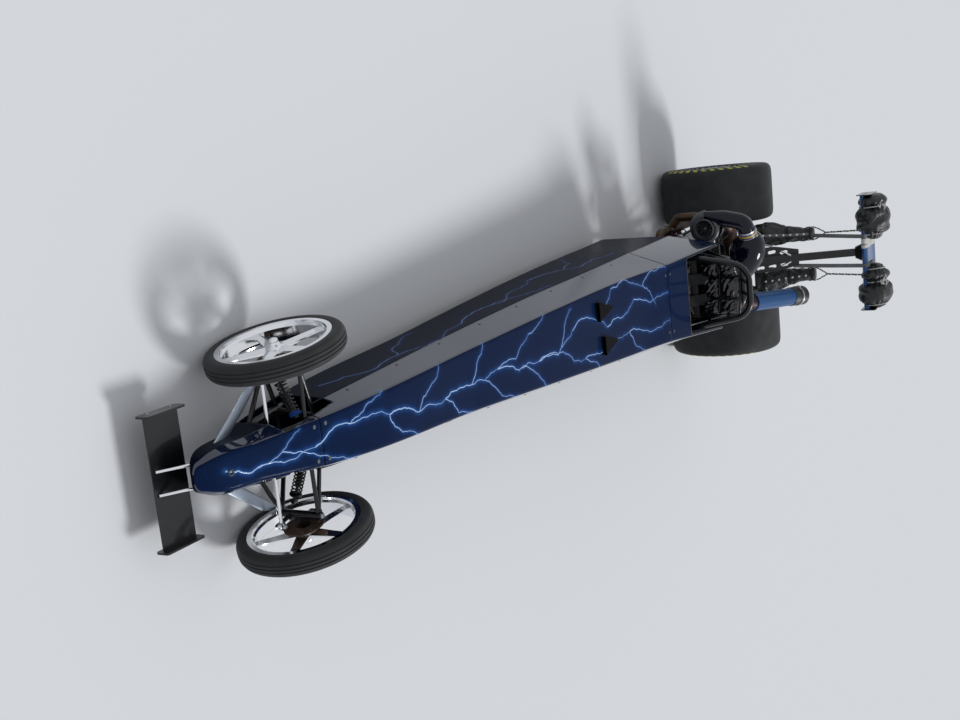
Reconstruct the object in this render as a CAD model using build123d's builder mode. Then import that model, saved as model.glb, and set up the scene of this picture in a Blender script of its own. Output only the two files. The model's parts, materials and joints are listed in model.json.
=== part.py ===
"""Rear-engined drag racing car, in millimetres.

The floor is Z = 0, the car points along -Y and its left side is +X. Lengths along the car are
given aft of the front axle, and aft() turns them into the model's Y.
"""
import os
from math import cos, radians, sin, tan

from build123d import *

os.makedirs("parts", exist_ok=True)

# Wheels and stance
WHEELBASE = 5550
FRONT_AXLE_Y = -2680
FRONT_TRACK = 772
REAR_TRACK = 1036
FRONT_TYRE_RADIUS = 286
FRONT_BEAD_RADIUS = 222
REAR_TYRE_RADIUS = 430
REAR_BEAD_RADIUS = 205
KINGPIN_X = 302
STEERED = radians(11.5)
LOWER_JOINT_Z = 190
UPPER_JOINT_Z = 375

# Body shell
PANEL = 5
CREST = 3530
COWL_START = 3285
NOSE_SEAM = 16
COWL_END = 4000

# Stations of the body: aft, deck edge x and z, crease x and z, belly edge x and z
BODY = [
    (-516, 16, 238, 20, 231, 18, 222),
    (-510, 30, 243, 37, 231, 34, 216),
    (-503, 40, 249, 50, 232, 46, 210),
    (-482, 50, 266, 63, 240, 58, 192),
    (-250, 74, 351, 99, 287, 101, 150),
    (NOSE_SEAM, 95, 429, 129, 331, 139, 120),
    (1200, 152, 525, 209, 370, 224, 100),
    (2000, 195, 594, 260, 415, 282, 96),
    (2800, 229, 678, 302, 480, 329, 96),
    (3000, 234, 706, 313, 492, 338, 96),
    (COWL_START, 241, 762, 331, 515, 349, 96),
    (CREST, 257.1, 805.5, 341.6, 530.4, 356.9, 96),
    (COWL_END, 288, 889, 362, 560, 372, 96),
]
DECK_ROUND = 25
CREASE_ROUND = 12
BELLY_ROUND = 20

# Scoops: x and aft of each mouth
SCOOPS = [(-100, 2400), (100, 2440)]
SCOOP_WIDTH = 110
SCOOP_HEIGHT = 22
SCOOP_LENGTH = 190
SCOOP_WALL = 2

# Frame tubes
RAIL_RADIUS = 20.5
HOOP_RADIUS = 19
UPRIGHT_RADIUS = 13
CROSS_RADIUS = 12
DIAGONAL_RADIUS = 10
TAB_RADIUS = 6
# Rails: aft, x, z
LOWER_RAIL = [
    (-175, 84, 180),
    (60, 104, 150),
    (1200, 190, 128),
    (2800, 290, 124),
    (3950, 300, 124),
    (4200, 262, 150),
    (5100, 235, 210),
    (5720, 235, 300),
]
UPPER_RAIL = [
    (-175, 62, 332),
    (60, 78, 384),
    (1200, 135, 478),
    (2800, 210, 630),
    (3010, 214, 648),
    (3300, 276, 560),
    (3900, 282, 540),
    (4180, 262, 340),
    (4800, 262, 340),
    (5100, 235, 500),
    (5720, 235, 520),
]
FRONT_SPLICE = 2996
REAR_SPLICE = 4100
UPRIGHTS = [-158, 100, 640, 1230, 1820, 2410, 2975, 3420, 3870, 4172, 4820, 5240, 5700]
OPEN_TOPS = [3420, 3870, 4172, 4820]
OPEN_FLOORS = [4820]
DIAGONALS = [(130, 610), (1200, 670), (1260, 1790), (2380, 1850), (2440, 2945)]
TABS = [350, 1500, 2600]
COLUMN_STATION = 2975
CHUTE_BAR = 5440
CHUTE_BAR_Z = 735
TOW_EYE = 5780
TOW_EYE_Z = 300
TOW_EYE_RADIUS = 10
TOW_PLATE = 10
JACK_PAD_Z = 262
# Hoops: where each stands, then the corners of its left half as x and z, with their bends
MAIN_HOOP = (3720, [(214, 874), (158, 1152)], [80, 125])
REAR_HOOP = (3950, [(208, 800), (140, 1045)], [80, 100])

# Engine
ENGINE_FRONT = 4200
ENGINE_REAR = 4740
PORTS = [ENGINE_FRONT + 80 + 125 * port for port in range(4)]
COVER_RIBS = 7
PLATE = 10
CRANK_Z = 300

# Rear wing and parachutes
WING_AFT = 5585
WING_Z = 1575
WING_CHORD = 280
WING_HALF_SPAN = 432
# Wing section, as y and z from its middle
WING_OVER = [(-126, 0), (-70, 9), (10, 9), (80, 12)]
WING_UNDER = [(-128, -26), (-70, -37), (10, -28), (80, -8)]
POST_LEAN = 0.362
# Slots of the bracket, as x and distance up
BRACKET_SLOTS = [(62, -70), (56, -160), (48, -250)]
# Parachute packs: z, x, width and depth
PACK_SECTIONS = [(748, 180, 176, 150), (860, 178, 192, 170), (1000, 166, 130, 130), (1165, 160, 108, 104)]
# Parachutes bundled on the wing: x, depth and height
BUNDLE_SECTIONS = [(100, 150, 110), (150, 270, 190), (262, 330, 226), (372, 310, 214), (424, 190, 130)]


def aft(distance):
    """Model Y of a place measured aft of the front axle."""
    return FRONT_AXLE_Y + distance


REAR_AXLE_Y = aft(WHEELBASE)

# Steering column, and how far the butterfly is turned in the photographed pose
COLUMN_TOP = Vector(0, aft(3430), 650)
COLUMN_FOOT = Vector(0, aft(COLUMN_STATION + 16), 560)
COLUMN = (COLUMN_TOP - COLUMN_FOOT).normalized()
COLUMN_RADIUS = 12
WHEEL_TURN = radians(46)


def station(table, distance):
    """The row of a table of stations at a distance, worked out between its neighbours."""
    for before, after in zip(table, table[1:]):
        if distance <= after[0]:
            break
    share = (distance - before[0]) / (after[0] - before[0])
    return tuple(a + share * (b - a) for a, b in zip(before, after))


def stations(table, start, end):
    """The table's rows between two distances, with a row made at each end."""
    inner = [row for row in table if start < row[0] < end]
    return [station(table, start)] + inner + [station(table, end)]


def rail_point(table, distance, side):
    """Centre of a rail at a distance, on the left for side 1 and the right for side -1."""
    row = station(table, distance)
    return (side * row[1], aft(distance), row[2])


def bar(start, end, radius):
    """One straight round tube, kept apart until it is added."""
    run = Vector(*end) - Vector(*start)
    with BuildSketch(Plane(origin=start, z_dir=run)) as section:
        Circle(radius)
    return extrude(section.sketch, amount=run.length, mode=Mode.PRIVATE)


def mitred(points, radius):
    """A round tube along straight runs, mitred at each bend, kept apart until it is added."""
    with BuildLine() as path:
        Polyline(*points)
    with BuildSketch(Plane(origin=points[0], z_dir=path.line % 0)) as section:
        Circle(radius)
    return sweep(section.sketch, path=path.line, transition=Transition.RIGHT, mode=Mode.PRIVATE)


def tube(start, end, radius):
    """Adds one straight round tube to the part that is being built."""
    add(bar(start, end, radius))


def bent_tube(points, radius):
    """Adds a mitred run of tube to the part that is being built."""
    add(mitred(points, radius))


def bent_pipe(points, radius, bends):
    """A round pipe with smooth bends, kept apart until it is added."""
    with BuildLine() as path:
        FilletPolyline(*points, radius=bends)
    with BuildSketch(Plane(origin=points[0], z_dir=path.line % 0)) as section:
        Circle(radius)
    return sweep(section.sketch, path=path.line, mode=Mode.PRIVATE)


def profile_plane(centre, axle):
    """Plane through an axle: local x is its radius, as upright as it can be, and local y runs along it."""
    normal = Vector(0, 0, 1).cross(axle)
    return Plane(origin=centre, x_dir=axle.cross(normal), z_dir=normal)


def ring(centre, axle, points):
    """Adds a ring turned about the axle, from a closed outline of radius and offset."""
    with BuildSketch(profile_plane(centre, axle)) as outline:
        with BuildLine():
            Polyline(*points, close=True)
        make_face()
    revolve(outline.sketch, axis=Axis(centre, axle))


def circles_loft(rows):
    """A smooth duct through circles, each given as its centre, direction and radius."""
    sections = []
    for centre, direction, radius in rows:
        with BuildSketch(Plane(origin=centre, z_dir=direction)) as section:
            Circle(radius)
        sections.append(section.sketch)
    return loft(sections=sections, mode=Mode.PRIVATE)


def rounded_section(distance, points, radii):
    """A closed outline across the body, each of its corners rounded by a radius from the list."""
    with BuildSketch(Plane.XZ.offset(-aft(distance))) as section:
        with BuildLine():
            bends = []
            befores = points[-1:] + points[:-1]
            afters = points[1:] + points[:1]
            for before, here, after, radius in zip(befores, points, afters, radii):
                into = (Vector(*here) - Vector(*before)).normalized()
                out = (Vector(*after) - Vector(*here)).normalized()
                cut = radius * tan(radians(into.get_angle(out)) / 2)
                bends.append((Vector(*here) - into * cut, Vector(*here) + out * cut, into, radius))
            for bend, following in zip(bends, bends[1:] + bends[:1]):
                start, end, into, radius = bend
                if radius:
                    TangentArc(start, end, tangent=into)
                Line(end, following[0])
        make_face()
    return section.sketch


def corner_rounds(row, inset=0):
    """Radii at the deck edge, crease and belly edge, smaller near the nose tip and inside the panels."""
    share = min(1, (row[1] / 40) ** 1.5)
    return [max(0, share * radius - inset) for radius in (DECK_ROUND, CREASE_ROUND, BELLY_ROUND)]


def outer_half(row):
    """Left half of the body's outside at a station, from the belly edge up to the deck edge."""
    return [row[5:7], row[3:5], row[1:3]]


def inner_half(row, lift=-PANEL):
    """The same inside the panels, its top moved by lift along the sides' slope."""
    place, deck_x, deck_z, crease_x, crease_z, belly_x, belly_z = row
    slope = (crease_x - deck_x) / (deck_z - crease_z)
    return [
        (belly_x - PANEL, belly_z + PANEL),
        (crease_x - PANEL, crease_z),
        (deck_x - PANEL - slope * (lift + PANEL), deck_z + lift),
    ]


def body_section(row, half, inset=0):
    """A closed section of the body from its left half, belly edge first."""
    deck, crease, belly = corner_rounds(row, inset)
    radii = [belly, crease, deck]
    return rounded_section(row[0], mirrored(half), radii + radii[::-1])


def panel_section(row, first, last):
    """Section of a panel that runs from one side to the other over the corners first to last."""
    outside = outer_half(row)[first:last]
    inside = inner_half(row)[first:last]
    deck, crease, belly = corner_rounds(row)
    inner_deck, inner_crease, inner_belly = corner_rounds(row, PANEL)
    outer_radii = [belly, crease, deck][first:last]
    inner_radii = [inner_belly, inner_crease, inner_deck][first:last]
    edge = [0 if point == row[3:5] else radius for point, radius in zip(outside, outer_radii)]
    inner_edge = [0 if point == row[3:5] else radius for point, radius in zip(outside, inner_radii)]
    if outside[0] != row[3:5]:
        outside, inside = outside[::-1], inside[::-1]
        edge, inner_edge = edge[::-1], inner_edge[::-1]
    points = outside + [(-x, z) for x, z in outside[::-1]] + [(-x, z) for x, z in inside] + inside[::-1]
    return rounded_section(row[0], points, edge + edge[::-1] + inner_edge + inner_edge[::-1])


def mirrored(half):
    """A half outline with its mirror image, as one closed run of points."""
    return half + [(-x, z) for x, z in reversed(half)]


def mirrored_x(half):
    """The same for points given as x and y, mirrored from left to right."""
    return half + [(-x, y) for x, y in reversed(half)]


def frame_section(start, end):
    """Rails, uprights, cross tubes and diagonals of the space frame between two distances."""
    tubes = []
    inside = [place for place in UPRIGHTS if start < place < end]
    for side in (-1, 1):
        for rail in (LOWER_RAIL, UPPER_RAIL):
            run = [rail_point(rail, row[0], side) for row in stations(rail, start, end)]
            tubes.append(mitred(run, RAIL_RADIUS))
        for place in inside:
            foot = rail_point(LOWER_RAIL, place, side)
            tubes.append(bar(foot, rail_point(UPPER_RAIL, place, side), UPRIGHT_RADIUS))
        for low, high in DIAGONALS:
            if start < low < end:
                foot = rail_point(LOWER_RAIL, low, side)
                tubes.append(bar(foot, rail_point(UPPER_RAIL, high, side), DIAGONAL_RADIUS))
    for place in inside:
        if place not in OPEN_FLOORS:
            tubes.append(bar(*[rail_point(LOWER_RAIL, place, side) for side in (-1, 1)], CROSS_RADIUS))
        if place not in OPEN_TOPS:
            tubes.append(bar(*[rail_point(UPPER_RAIL, place, side) for side in (-1, 1)], CROSS_RADIUS))
    return tubes


# Space frame, spliced in three: its front section carries the panels and the steering column
with BuildPart() as front_frame:
    welded = frame_section(LOWER_RAIL[0][0], FRONT_SPLICE)
    for side in (-1, 1):
        for place in TABS:
            x, y, z = rail_point(UPPER_RAIL, place, side)
            welded.append(bar((x, y, z), (x, y, station(BODY, place)[2] - PANEL - 1), TAB_RADIUS))
            x, y, z = rail_point(LOWER_RAIL, place, side)
            welded.append(bar((x, y, z), (x, y, station(BODY, place)[6] + PANEL), TAB_RADIUS))
    column_bar = rail_point(UPPER_RAIL, COLUMN_STATION, 0)[2]
    welded.append(bar((0, aft(COLUMN_STATION), column_bar), (0, aft(COLUMN_STATION), 540), TAB_RADIUS + 4))
    add(welded)
    tube(COLUMN_FOOT - COLUMN * 16, COLUMN_FOOT + COLUMN * 24, COLUMN_RADIUS + 8)
    bearing = bar(tuple(COLUMN_FOOT - COLUMN), tuple(COLUMN_FOOT + COLUMN * 40), COLUMN_RADIUS + 0.6)
    add(bearing, mode=Mode.SUBTRACT)
front_frame.part.label = "front_frame"

# Its middle section, round the driver
with BuildPart() as cockpit_frame:
    add(frame_section(FRONT_SPLICE, REAR_SPLICE))
cockpit_frame.part.label = "cockpit_frame"

# Its rear section, with the bar for the parachute packs, the tow eye and the jack pad
with BuildPart() as rear_frame:
    welded = frame_section(REAR_SPLICE, LOWER_RAIL[-1][0])
    for side in (-1, 1):
        hump = [
            rail_point(UPPER_RAIL, 5290, side),
            (side * 235, aft(CHUTE_BAR), CHUTE_BAR_Z),
            rail_point(UPPER_RAIL, 5680, side),
        ]
        welded.append(mitred(hump, UPRIGHT_RADIUS))
    welded.append(bar((-235, aft(CHUTE_BAR), CHUTE_BAR_Z), (235, aft(CHUTE_BAR), CHUTE_BAR_Z), CROSS_RADIUS))
    add(welded)
    with BuildSketch(Plane.XY.offset(TOW_EYE_Z - TOW_PLATE / 2)):
        with Locations((0, aft(TOW_EYE) - 20)):
            RectangleRounded(56, 124, 20)
        with Locations((0, aft(TOW_EYE))):
            Circle(TOW_EYE_RADIUS, mode=Mode.SUBTRACT)
    extrude(amount=TOW_PLATE)
    with BuildSketch(Plane.XY.offset(JACK_PAD_Z)):
        with Locations((0, aft(5700))):
            RectangleRounded(110, 60, 8)
    extrude(amount=26)
rear_frame.part.label = "rear_frame"

# Roll cage: two bent hoops joined over the driver's head, coped on to the rails
def hoop(place, corners, bends):
    """A hoop bent from one tube, kept apart until it is added."""
    foot = station(UPPER_RAIL, place)[1:]
    points = [(x, aft(place), z) for x, z in mirrored([foot] + corners)]
    return bent_pipe(points, HOOP_RADIUS, bends + bends[::-1])


def hoop_joints(place, corners, bends):
    """Where the cross tubes meet a hoop on its left: its corner, its shoulder and its top."""
    (low_x, low_z), (high_x, high_z) = corners
    return [(low_x, low_z), ((low_x + high_x) / 2, (low_z + high_z) / 2), (40, high_z)]


with BuildPart() as roll_cage:
    add([hoop(*MAIN_HOOP), hoop(*REAR_HOOP)])
    joints = list(zip(hoop_joints(*MAIN_HOOP), hoop_joints(*REAR_HOOP)))
    for side in (-1, 1):
        for (front_x, front_z), (rear_x, rear_z) in joints:
            main = (side * front_x, aft(MAIN_HOOP[0]), front_z)
            tube(main, (side * rear_x, aft(REAR_HOOP[0]), rear_z), CROSS_RADIUS)
        shoulder_x, shoulder_z = joints[1][1]
        shoulder = (side * shoulder_x, aft(REAR_HOOP[0]), shoulder_z)
        tube(shoulder, rail_point(UPPER_RAIL, 4162, side), UPRIGHT_RADIUS)
    add([cockpit_frame.part, rear_frame.part], mode=Mode.SUBTRACT)
roll_cage.part.label = "roll_cage"


def arm_windows(distance, length, height, depth):
    """Cuts the openings in both sides that the suspension and tie rods pass through."""
    for side in (-1, 1):
        with BuildSketch(Plane.YZ.offset(side * 130)) as window:
            with Locations((aft(distance), height)):
                RectangleRounded(length, depth, 20)
        extrude(window.sketch, amount=50, both=True, mode=Mode.SUBTRACT)


# Nose cone: a thin shell, rounded and closed at its tip and open at the seam
with BuildPart() as nose_cone:
    rows = stations(BODY, BODY[0][0], NOSE_SEAM)
    nose_form = loft(sections=[body_section(row, outer_half(row)) for row in rows], ruled=True)
    inner = [body_section(row, inner_half(row), PANEL) for row in rows[3:]]
    loft(sections=inner, ruled=True, mode=Mode.SUBTRACT)
    arm_windows(-60, 160, 265, 250)
nose_cone.part.label = "nose_cone"

# Front deck: the painted top and upper sides, as one long panel
with BuildPart() as front_deck:
    rows = stations(BODY, NOSE_SEAM, COWL_START)
    loft(sections=[panel_section(row, 1, 3) for row in rows], ruled=True)
    arm_windows(70, 190, 335, 120)
front_deck.part.label = "front_deck"

# Two small scoops on the deck ahead of the cowl, their mouths facing forward
with BuildPart() as deck_scoops:
    for x, place in SCOOPS:
        for inset, mode in ((0, Mode.ADD), (SCOOP_WALL, Mode.SUBTRACT)):
            with BuildSketch(Plane.XZ.offset(-aft(place))) as mouth:
                with Locations((x, station(BODY, place)[2] + SCOOP_HEIGHT / 2)):
                    Rectangle(SCOOP_WIDTH - 2 * inset, SCOOP_HEIGHT - 2 * inset)
            end = place + SCOOP_LENGTH - 6 * inset
            with BuildSketch(Plane.XZ.offset(-aft(end))) as tail:
                with Locations((x, station(BODY, end)[2] + 1.5)):
                    Rectangle(8 - inset, 2 - inset / 2)
            loft(sections=[mouth.sketch, tail.sketch], ruled=True, mode=mode)
    add(front_deck.part, mode=Mode.SUBTRACT)
deck_scoops.part.label = "deck_scoops"

# Belly pan: lower sides and floor under the front deck
with BuildPart() as belly_pan:
    loft(sections=[panel_section(row, 0, 2) for row in rows], ruled=True)
    arm_windows(70, 190, 235, 200)
belly_pan.part.label = "belly_pan"

# Cockpit cowl: closed over the driver's knees, open behind the crest, with its floor and raked end
RISE = 40
OPEN_ROUNDS = [BELLY_ROUND - PANEL, CREASE_ROUND - PANEL, 0, 0, CREASE_ROUND - PANEL, BELLY_ROUND - PANEL]
with BuildPart() as cockpit_cowl:
    rows = stations(BODY, COWL_START, COWL_END)
    loft(sections=[body_section(row, outer_half(row)) for row in rows], ruled=True)
    rows = stations(BODY, COWL_START, CREST)
    closed = [body_section(row, inner_half(row), PANEL) for row in rows]
    loft(sections=closed, ruled=True, mode=Mode.SUBTRACT)
    rows = stations(BODY, CREST, COWL_END)
    opened = [rounded_section(row[0], mirrored(inner_half(row, RISE)), OPEN_ROUNDS) for row in rows]
    loft(sections=opened, ruled=True, mode=Mode.SUBTRACT)
    with BuildSketch(Plane.YZ):
        with BuildLine():
            Polyline(
                (aft(3990), 900),
                (aft(3850), 96),
                (aft(3850), 60),
                (aft(COWL_END) + 10, 60),
                (aft(COWL_END) + 10, 900),
                close=True,
            )
        make_face()
    extrude(amount=400, both=True, mode=Mode.SUBTRACT)
cockpit_cowl.part.label = "cockpit_cowl"

# Seat: one folded shell with a raked back
with BuildPart() as seat:
    with BuildSketch(Plane.YZ):
        with BuildLine():
            Polyline(
                (aft(3390), 134),
                (aft(3700), 134),
                (aft(3780), 170),
                (aft(3885), 760),
                (aft(3858), 765),
                (aft(3735), 215),
                (aft(3670), 185),
                (aft(3400), 185),
                close=True,
            )
        make_face()
    extrude(amount=190, both=True)
    add(cockpit_frame.part, mode=Mode.SUBTRACT)
    add(roll_cage.part, mode=Mode.SUBTRACT)
seat.part.label = "seat"

with BuildPart() as head_surround:
    with BuildSketch(Plane.XY.offset(774)):
        with BuildLine():
            Polyline(
                (-178, aft(3862)),
                (-76, aft(3902)),
                (76, aft(3902)),
                (178, aft(3862)),
                (178, aft(3880)),
                (76, aft(3936)),
                (-76, aft(3936)),
                (-178, aft(3880)),
                close=True,
            )
        make_face()
    extrude(amount=264)
    add(roll_cage.part, mode=Mode.SUBTRACT)
head_surround.part.label = "head_surround"

# Firewall between the driver and the engine
with BuildPart() as firewall:
    with BuildSketch(Plane.XZ.offset(-aft(3996))):
        with BuildLine():
            Polyline((-250, 150), (250, 150), (250, 800), (120, 1060), (-120, 1060), (-250, 800), close=True)
        make_face()
    extrude(amount=5)
    add(cockpit_frame.part, mode=Mode.SUBTRACT)
    add(roll_cage.part, mode=Mode.SUBTRACT)
firewall.part.label = "firewall"

# Steering wheel: a butterfly on its column, turned as the front wheels are
with BuildPart() as steering_wheel:
    tube(COLUMN_FOOT, COLUMN_TOP, COLUMN_RADIUS)
    level = Vector(1, 0, 0)
    turned = level * cos(WHEEL_TURN) + COLUMN.cross(level) * sin(WHEEL_TURN)
    grip_plane = Plane(origin=COLUMN_TOP, x_dir=turned, z_dir=COLUMN)
    with BuildSketch(grip_plane):
        Rectangle(186, 26)
        for side in (-1, 1):
            with Locations((side * 95, 0)):
                SlotOverall(126, 30, rotation=80)
    extrude(amount=22)
steering_wheel.part.label = "steering_wheel"

# Engine: V8 with its sump and heads, between two motor plates
with BuildPart() as motor_plates:
    for place in (ENGINE_FRONT - PLATE, ENGINE_REAR):
        with BuildSketch(Plane.XZ.offset(-aft(place))):
            with Locations((0, 300)):
                RectangleRounded(560, 220, 30)
        extrude(amount=-PLATE)
    add(rear_frame.part, mode=Mode.SUBTRACT)
    add(roll_cage.part, mode=Mode.SUBTRACT)
motor_plates.part.label = "motor_plates"

with BuildPart() as engine_block:
    with BuildSketch(Plane.XZ.offset(-aft(ENGINE_FRONT))):
        with BuildLine():
            Polyline(*mirrored([
                (105, 150), (130, 230), (130, 340), (234, 392), (305, 463), (163, 605), (92, 534), (40, 480),
            ]), close=True)
        make_face()
    extrude(amount=-(ENGINE_REAR - ENGINE_FRONT))
engine_block.part.label = "engine_block"

with BuildPart() as valve_covers:
    length = ENGINE_REAR - ENGINE_FRONT - 40
    for side in (-1, 1):
        cover = [(181, 587), (287, 481), (333, 527), (330, 545), (240, 635), (220, 633)]
        rib = [(181, 587), (287, 481), (338, 526), (335, 547), (242, 641), (217, 639)]
        places = [(ENGINE_FRONT + 20, length, cover)]
        for index in range(COVER_RIBS):
            places.append((ENGINE_FRONT + 48 + index * (length - 62) / (COVER_RIBS - 1), 6, rib))
        for place, depth, outline in places:
            with BuildSketch(Plane.XZ.offset(-aft(place))):
                with BuildLine():
                    Polyline(*[(side * x, z) for x, z in outline], close=True)
                make_face()
            extrude(amount=-depth)
valve_covers.part.label = "valve_covers"

# Intake: plenum on eight runners, with the charge hat that comes over from the right
PLENUM_END = 4600
with BuildPart() as intake_plenum:
    with BuildSketch(Plane.XZ.offset(-aft(ENGINE_FRONT + 60))):
        with BuildLine():
            Polyline(*mirrored([(40, 480), (92, 534), (78, 566), (30, 576)]), close=True)
        make_face()
        with Locations((0, 790)):
            RectangleRounded(190, 140, 26)
    extrude(amount=ENGINE_FRONT + 60 - PLENUM_END)
    runners = []
    for side in (-1, 1):
        for port in PORTS:
            reach = min(port, PLENUM_END - 25)
            runners.append(bar((side * 74, aft(port), 545), (side * 62, aft(reach), 735), 22))
    add(runners)
    add(engine_block.part, mode=Mode.SUBTRACT)
intake_plenum.part.label = "intake_plenum"

# Turbocharger on the right, facing forward: scroll housings round one shaft
TURBO = Vector(-372, aft(4200), 742)
FACING = Vector(0, -1, 0)
TURBO_BLADES = 9
# Outlines as radius and distance ahead of the scroll's middle
COMPRESSOR_OUTLINE = [
    (0, -42),
    (72, -42),
    (84, -22),
    (84, 2),
    (68, 16),
    (64, 50),
    (71, 60),
    (71, 65),
    (64, 67),
    (50, 44),
    (48, 8),
    (24, 8),
    (12, 30),
    (0, 36),
]
TURBINE_OUTLINE = [(0, -110), (74, -110), (84, -124), (84, -150), (66, -170), (0, -170)]


def scroll(back, reach, growth, last):
    """A scroll round the turbo's shaft: circles that grow as they go round, lofted smoothly."""
    rows = []
    for turn in range(80, last + 1, 40):
        angle = radians(turn)
        outward = Vector(-cos(angle), 0, sin(angle))
        centre = TURBO - FACING * back + outward * (reach + 0.03 * turn)
        rows.append((centre, Vector(sin(angle), 0, cos(angle)), 13 + growth * turn))
    return circles_loft(rows)


def turbo_blade(turn):
    """One inlet blade of the compressor, twisted as it runs back."""
    sections = []
    for offset, twist in ((7, 0), (34, 28)):
        outward = Vector(1, 0, 0).rotate(Axis(TURBO, FACING), turn + twist)
        with BuildSketch(Plane(origin=TURBO + FACING * offset, x_dir=outward, z_dir=FACING)) as section:
            with Locations((26, 0)):
                Rectangle(40, 2.4)
        sections.append(section.sketch)
    return loft(sections=sections, ruled=True, mode=Mode.PRIVATE)


with BuildPart() as turbocharger:
    ring(TURBO, FACING, COMPRESSOR_OUTLINE)
    add(scroll(0, 70, 0.086, 360))
    add([turbo_blade(turn) for turn in range(0, 360, 360 // TURBO_BLADES)])
    tube(TURBO - FACING * 42, TURBO - FACING * 110, 46)
turbocharger.part.label = "turbocharger"

with BuildPart() as turbine_housing:
    ring(TURBO, FACING, TURBINE_OUTLINE)
    add(scroll(140, 66, 0.08, 280))
turbine_housing.part.label = "turbine_housing"

# Charge pipe up from the scroll, the coupler, and the bulging hat on the plenum
CHARGE_START = TURBO + Vector(-88, 0, 0)
CHARGE_RISE = Vector(-430, aft(4238), 858)
CHARGE_BEND = Vector(-392, aft(4290), 985)
CHARGE_END = Vector(-290, aft(4350), 990)
CHARGE_THROAT = 30
CHARGE_RADIUS = 56
CHARGE_RUN = (CHARGE_END - CHARGE_BEND).normalized()
# Hat sections: x, aft, z, direction, radius
HAT = [
    (-298, 4345, 990, (0.86, 0.50, 0.04), 56),
    (-262, 4366, 988, (0.86, 0.45, -0.10), 96),
    (-190, 4398, 966, (0.82, 0.35, -0.40), 122),
    (-112, 4424, 926, (0.70, 0.25, -0.65), 114),
    (-48, 4440, 888, (0.45, 0.15, -0.88), 96),
    (-6, 4446, 852, (0.10, 0.00, -1.00), 84),
]
with BuildPart() as charge_pipe:
    rise = (CHARGE_BEND - CHARGE_RISE).normalized()
    add(circles_loft([(CHARGE_START, Vector(0, 0, 1), CHARGE_THROAT), (CHARGE_RISE, rise, CHARGE_RADIUS)]))
    add(bent_pipe([CHARGE_RISE, CHARGE_BEND, CHARGE_END - CHARGE_RUN * 12], CHARGE_RADIUS, 75))
    add(turbocharger.part, mode=Mode.SUBTRACT)
charge_pipe.part.label = "charge_pipe"

with BuildPart() as charge_hat:
    rows = [(Vector(x, aft(place), z), Vector(*way), radius) for x, place, z, way, radius in HAT]
    add(circles_loft(rows))
    add(intake_plenum.part, mode=Mode.SUBTRACT)
charge_hat.part.label = "charge_hat"

with BuildPart() as charge_coupler:
    tube(CHARGE_END - CHARGE_RUN * 58, CHARGE_END + CHARGE_RUN * 4, CHARGE_RADIUS + 5)
    add([charge_pipe.part, charge_hat.part], mode=Mode.SUBTRACT)
charge_coupler.part.label = "charge_coupler"

# Headers: four primaries a side into a collector, the left one crossing ahead of the engine
COLLECTOR_X = 372
COLLECTOR_Z = 440
COLLECTOR_ENDS = (4250, 4700)
CROSSING = 4080
# Primary pipe: x, distance behind its port, z
PRIMARY = [(262, 0, 436), (312, 0, 386), (352, 22, 400), (372, 52, 430)]
with BuildPart() as headers:
    pipes = []
    for side in (-1, 1):
        for port in PORTS:
            primary = [(side * x, aft(port) + behind, z) for x, behind, z in PRIMARY]
            pipes.append(bent_pipe(primary, 19, [26, 26]))
        front, rear = [(side * COLLECTOR_X, aft(end), COLLECTOR_Z) for end in COLLECTOR_ENDS]
        pipes.append(bar(front, rear, 32))
    crossover = [
        (COLLECTOR_X, aft(4260), COLLECTOR_Z),
        (COLLECTOR_X, aft(CROSSING), COLLECTOR_Z),
        (-COLLECTOR_X, aft(CROSSING), COLLECTOR_Z),
        (-COLLECTOR_X, aft(4260), COLLECTOR_Z),
    ]
    pipes.append(bent_pipe(crossover, 28, [60, 60]))
    inlet = [
        (-COLLECTOR_X, aft(4340), COLLECTOR_Z),
        (-COLLECTOR_X - 76, aft(4340), 500),
        (-COLLECTOR_X - 76, aft(4340), 668),
        (-COLLECTOR_X - 2, aft(4340), 668),
    ]
    pipes.append(bent_pipe(inlet, 30, [40, 50]))
    add(pipes)
    add([engine_block.part, rear_frame.part, cockpit_frame.part, turbine_housing.part], mode=Mode.SUBTRACT)
headers.part.label = "headers"

# Turbine outlet: across behind the plenum and up the left side, capped while the car is parked
OUTLET_START = Vector(240, aft(4750), 880)
OUTLET_END = Vector(280, aft(5280), 1112)
OUTLET_RUN = (OUTLET_END - OUTLET_START).normalized()
OUTLET_RADIUS = 67
with BuildPart() as exhaust_crossover:
    turn_in = OUTLET_START - OUTLET_RUN * 77
    route = [
        (TURBO.X, aft(4370), TURBO.Z),
        (TURBO.X, turn_in.Y, TURBO.Z),
        tuple(turn_in),
        tuple(OUTLET_START),
    ]
    add(bent_pipe(route, 58, [100, 84]))
    add(turbine_housing.part, mode=Mode.SUBTRACT)
exhaust_crossover.part.label = "exhaust_crossover"

with BuildPart() as outlet_pipe:
    tube(OUTLET_START, OUTLET_END, OUTLET_RADIUS)
    bottom = tuple(OUTLET_START + OUTLET_RUN * 6)
    mouth = tuple(OUTLET_END + OUTLET_RUN * 10)
    add(bar(bottom, mouth, OUTLET_RADIUS - 3), mode=Mode.SUBTRACT)
outlet_pipe.part.label = "outlet_pipe"

CAP_OUTLINE = [(67, -78), (73, -78), (73, 8), (66, 16), (0, 20), (0, 0), (67, 0)]
with BuildPart() as outlet_cap:
    ring(OUTLET_END, OUTLET_RUN, CAP_OUTLINE)
outlet_cap.part.label = "outlet_cap"

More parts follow.
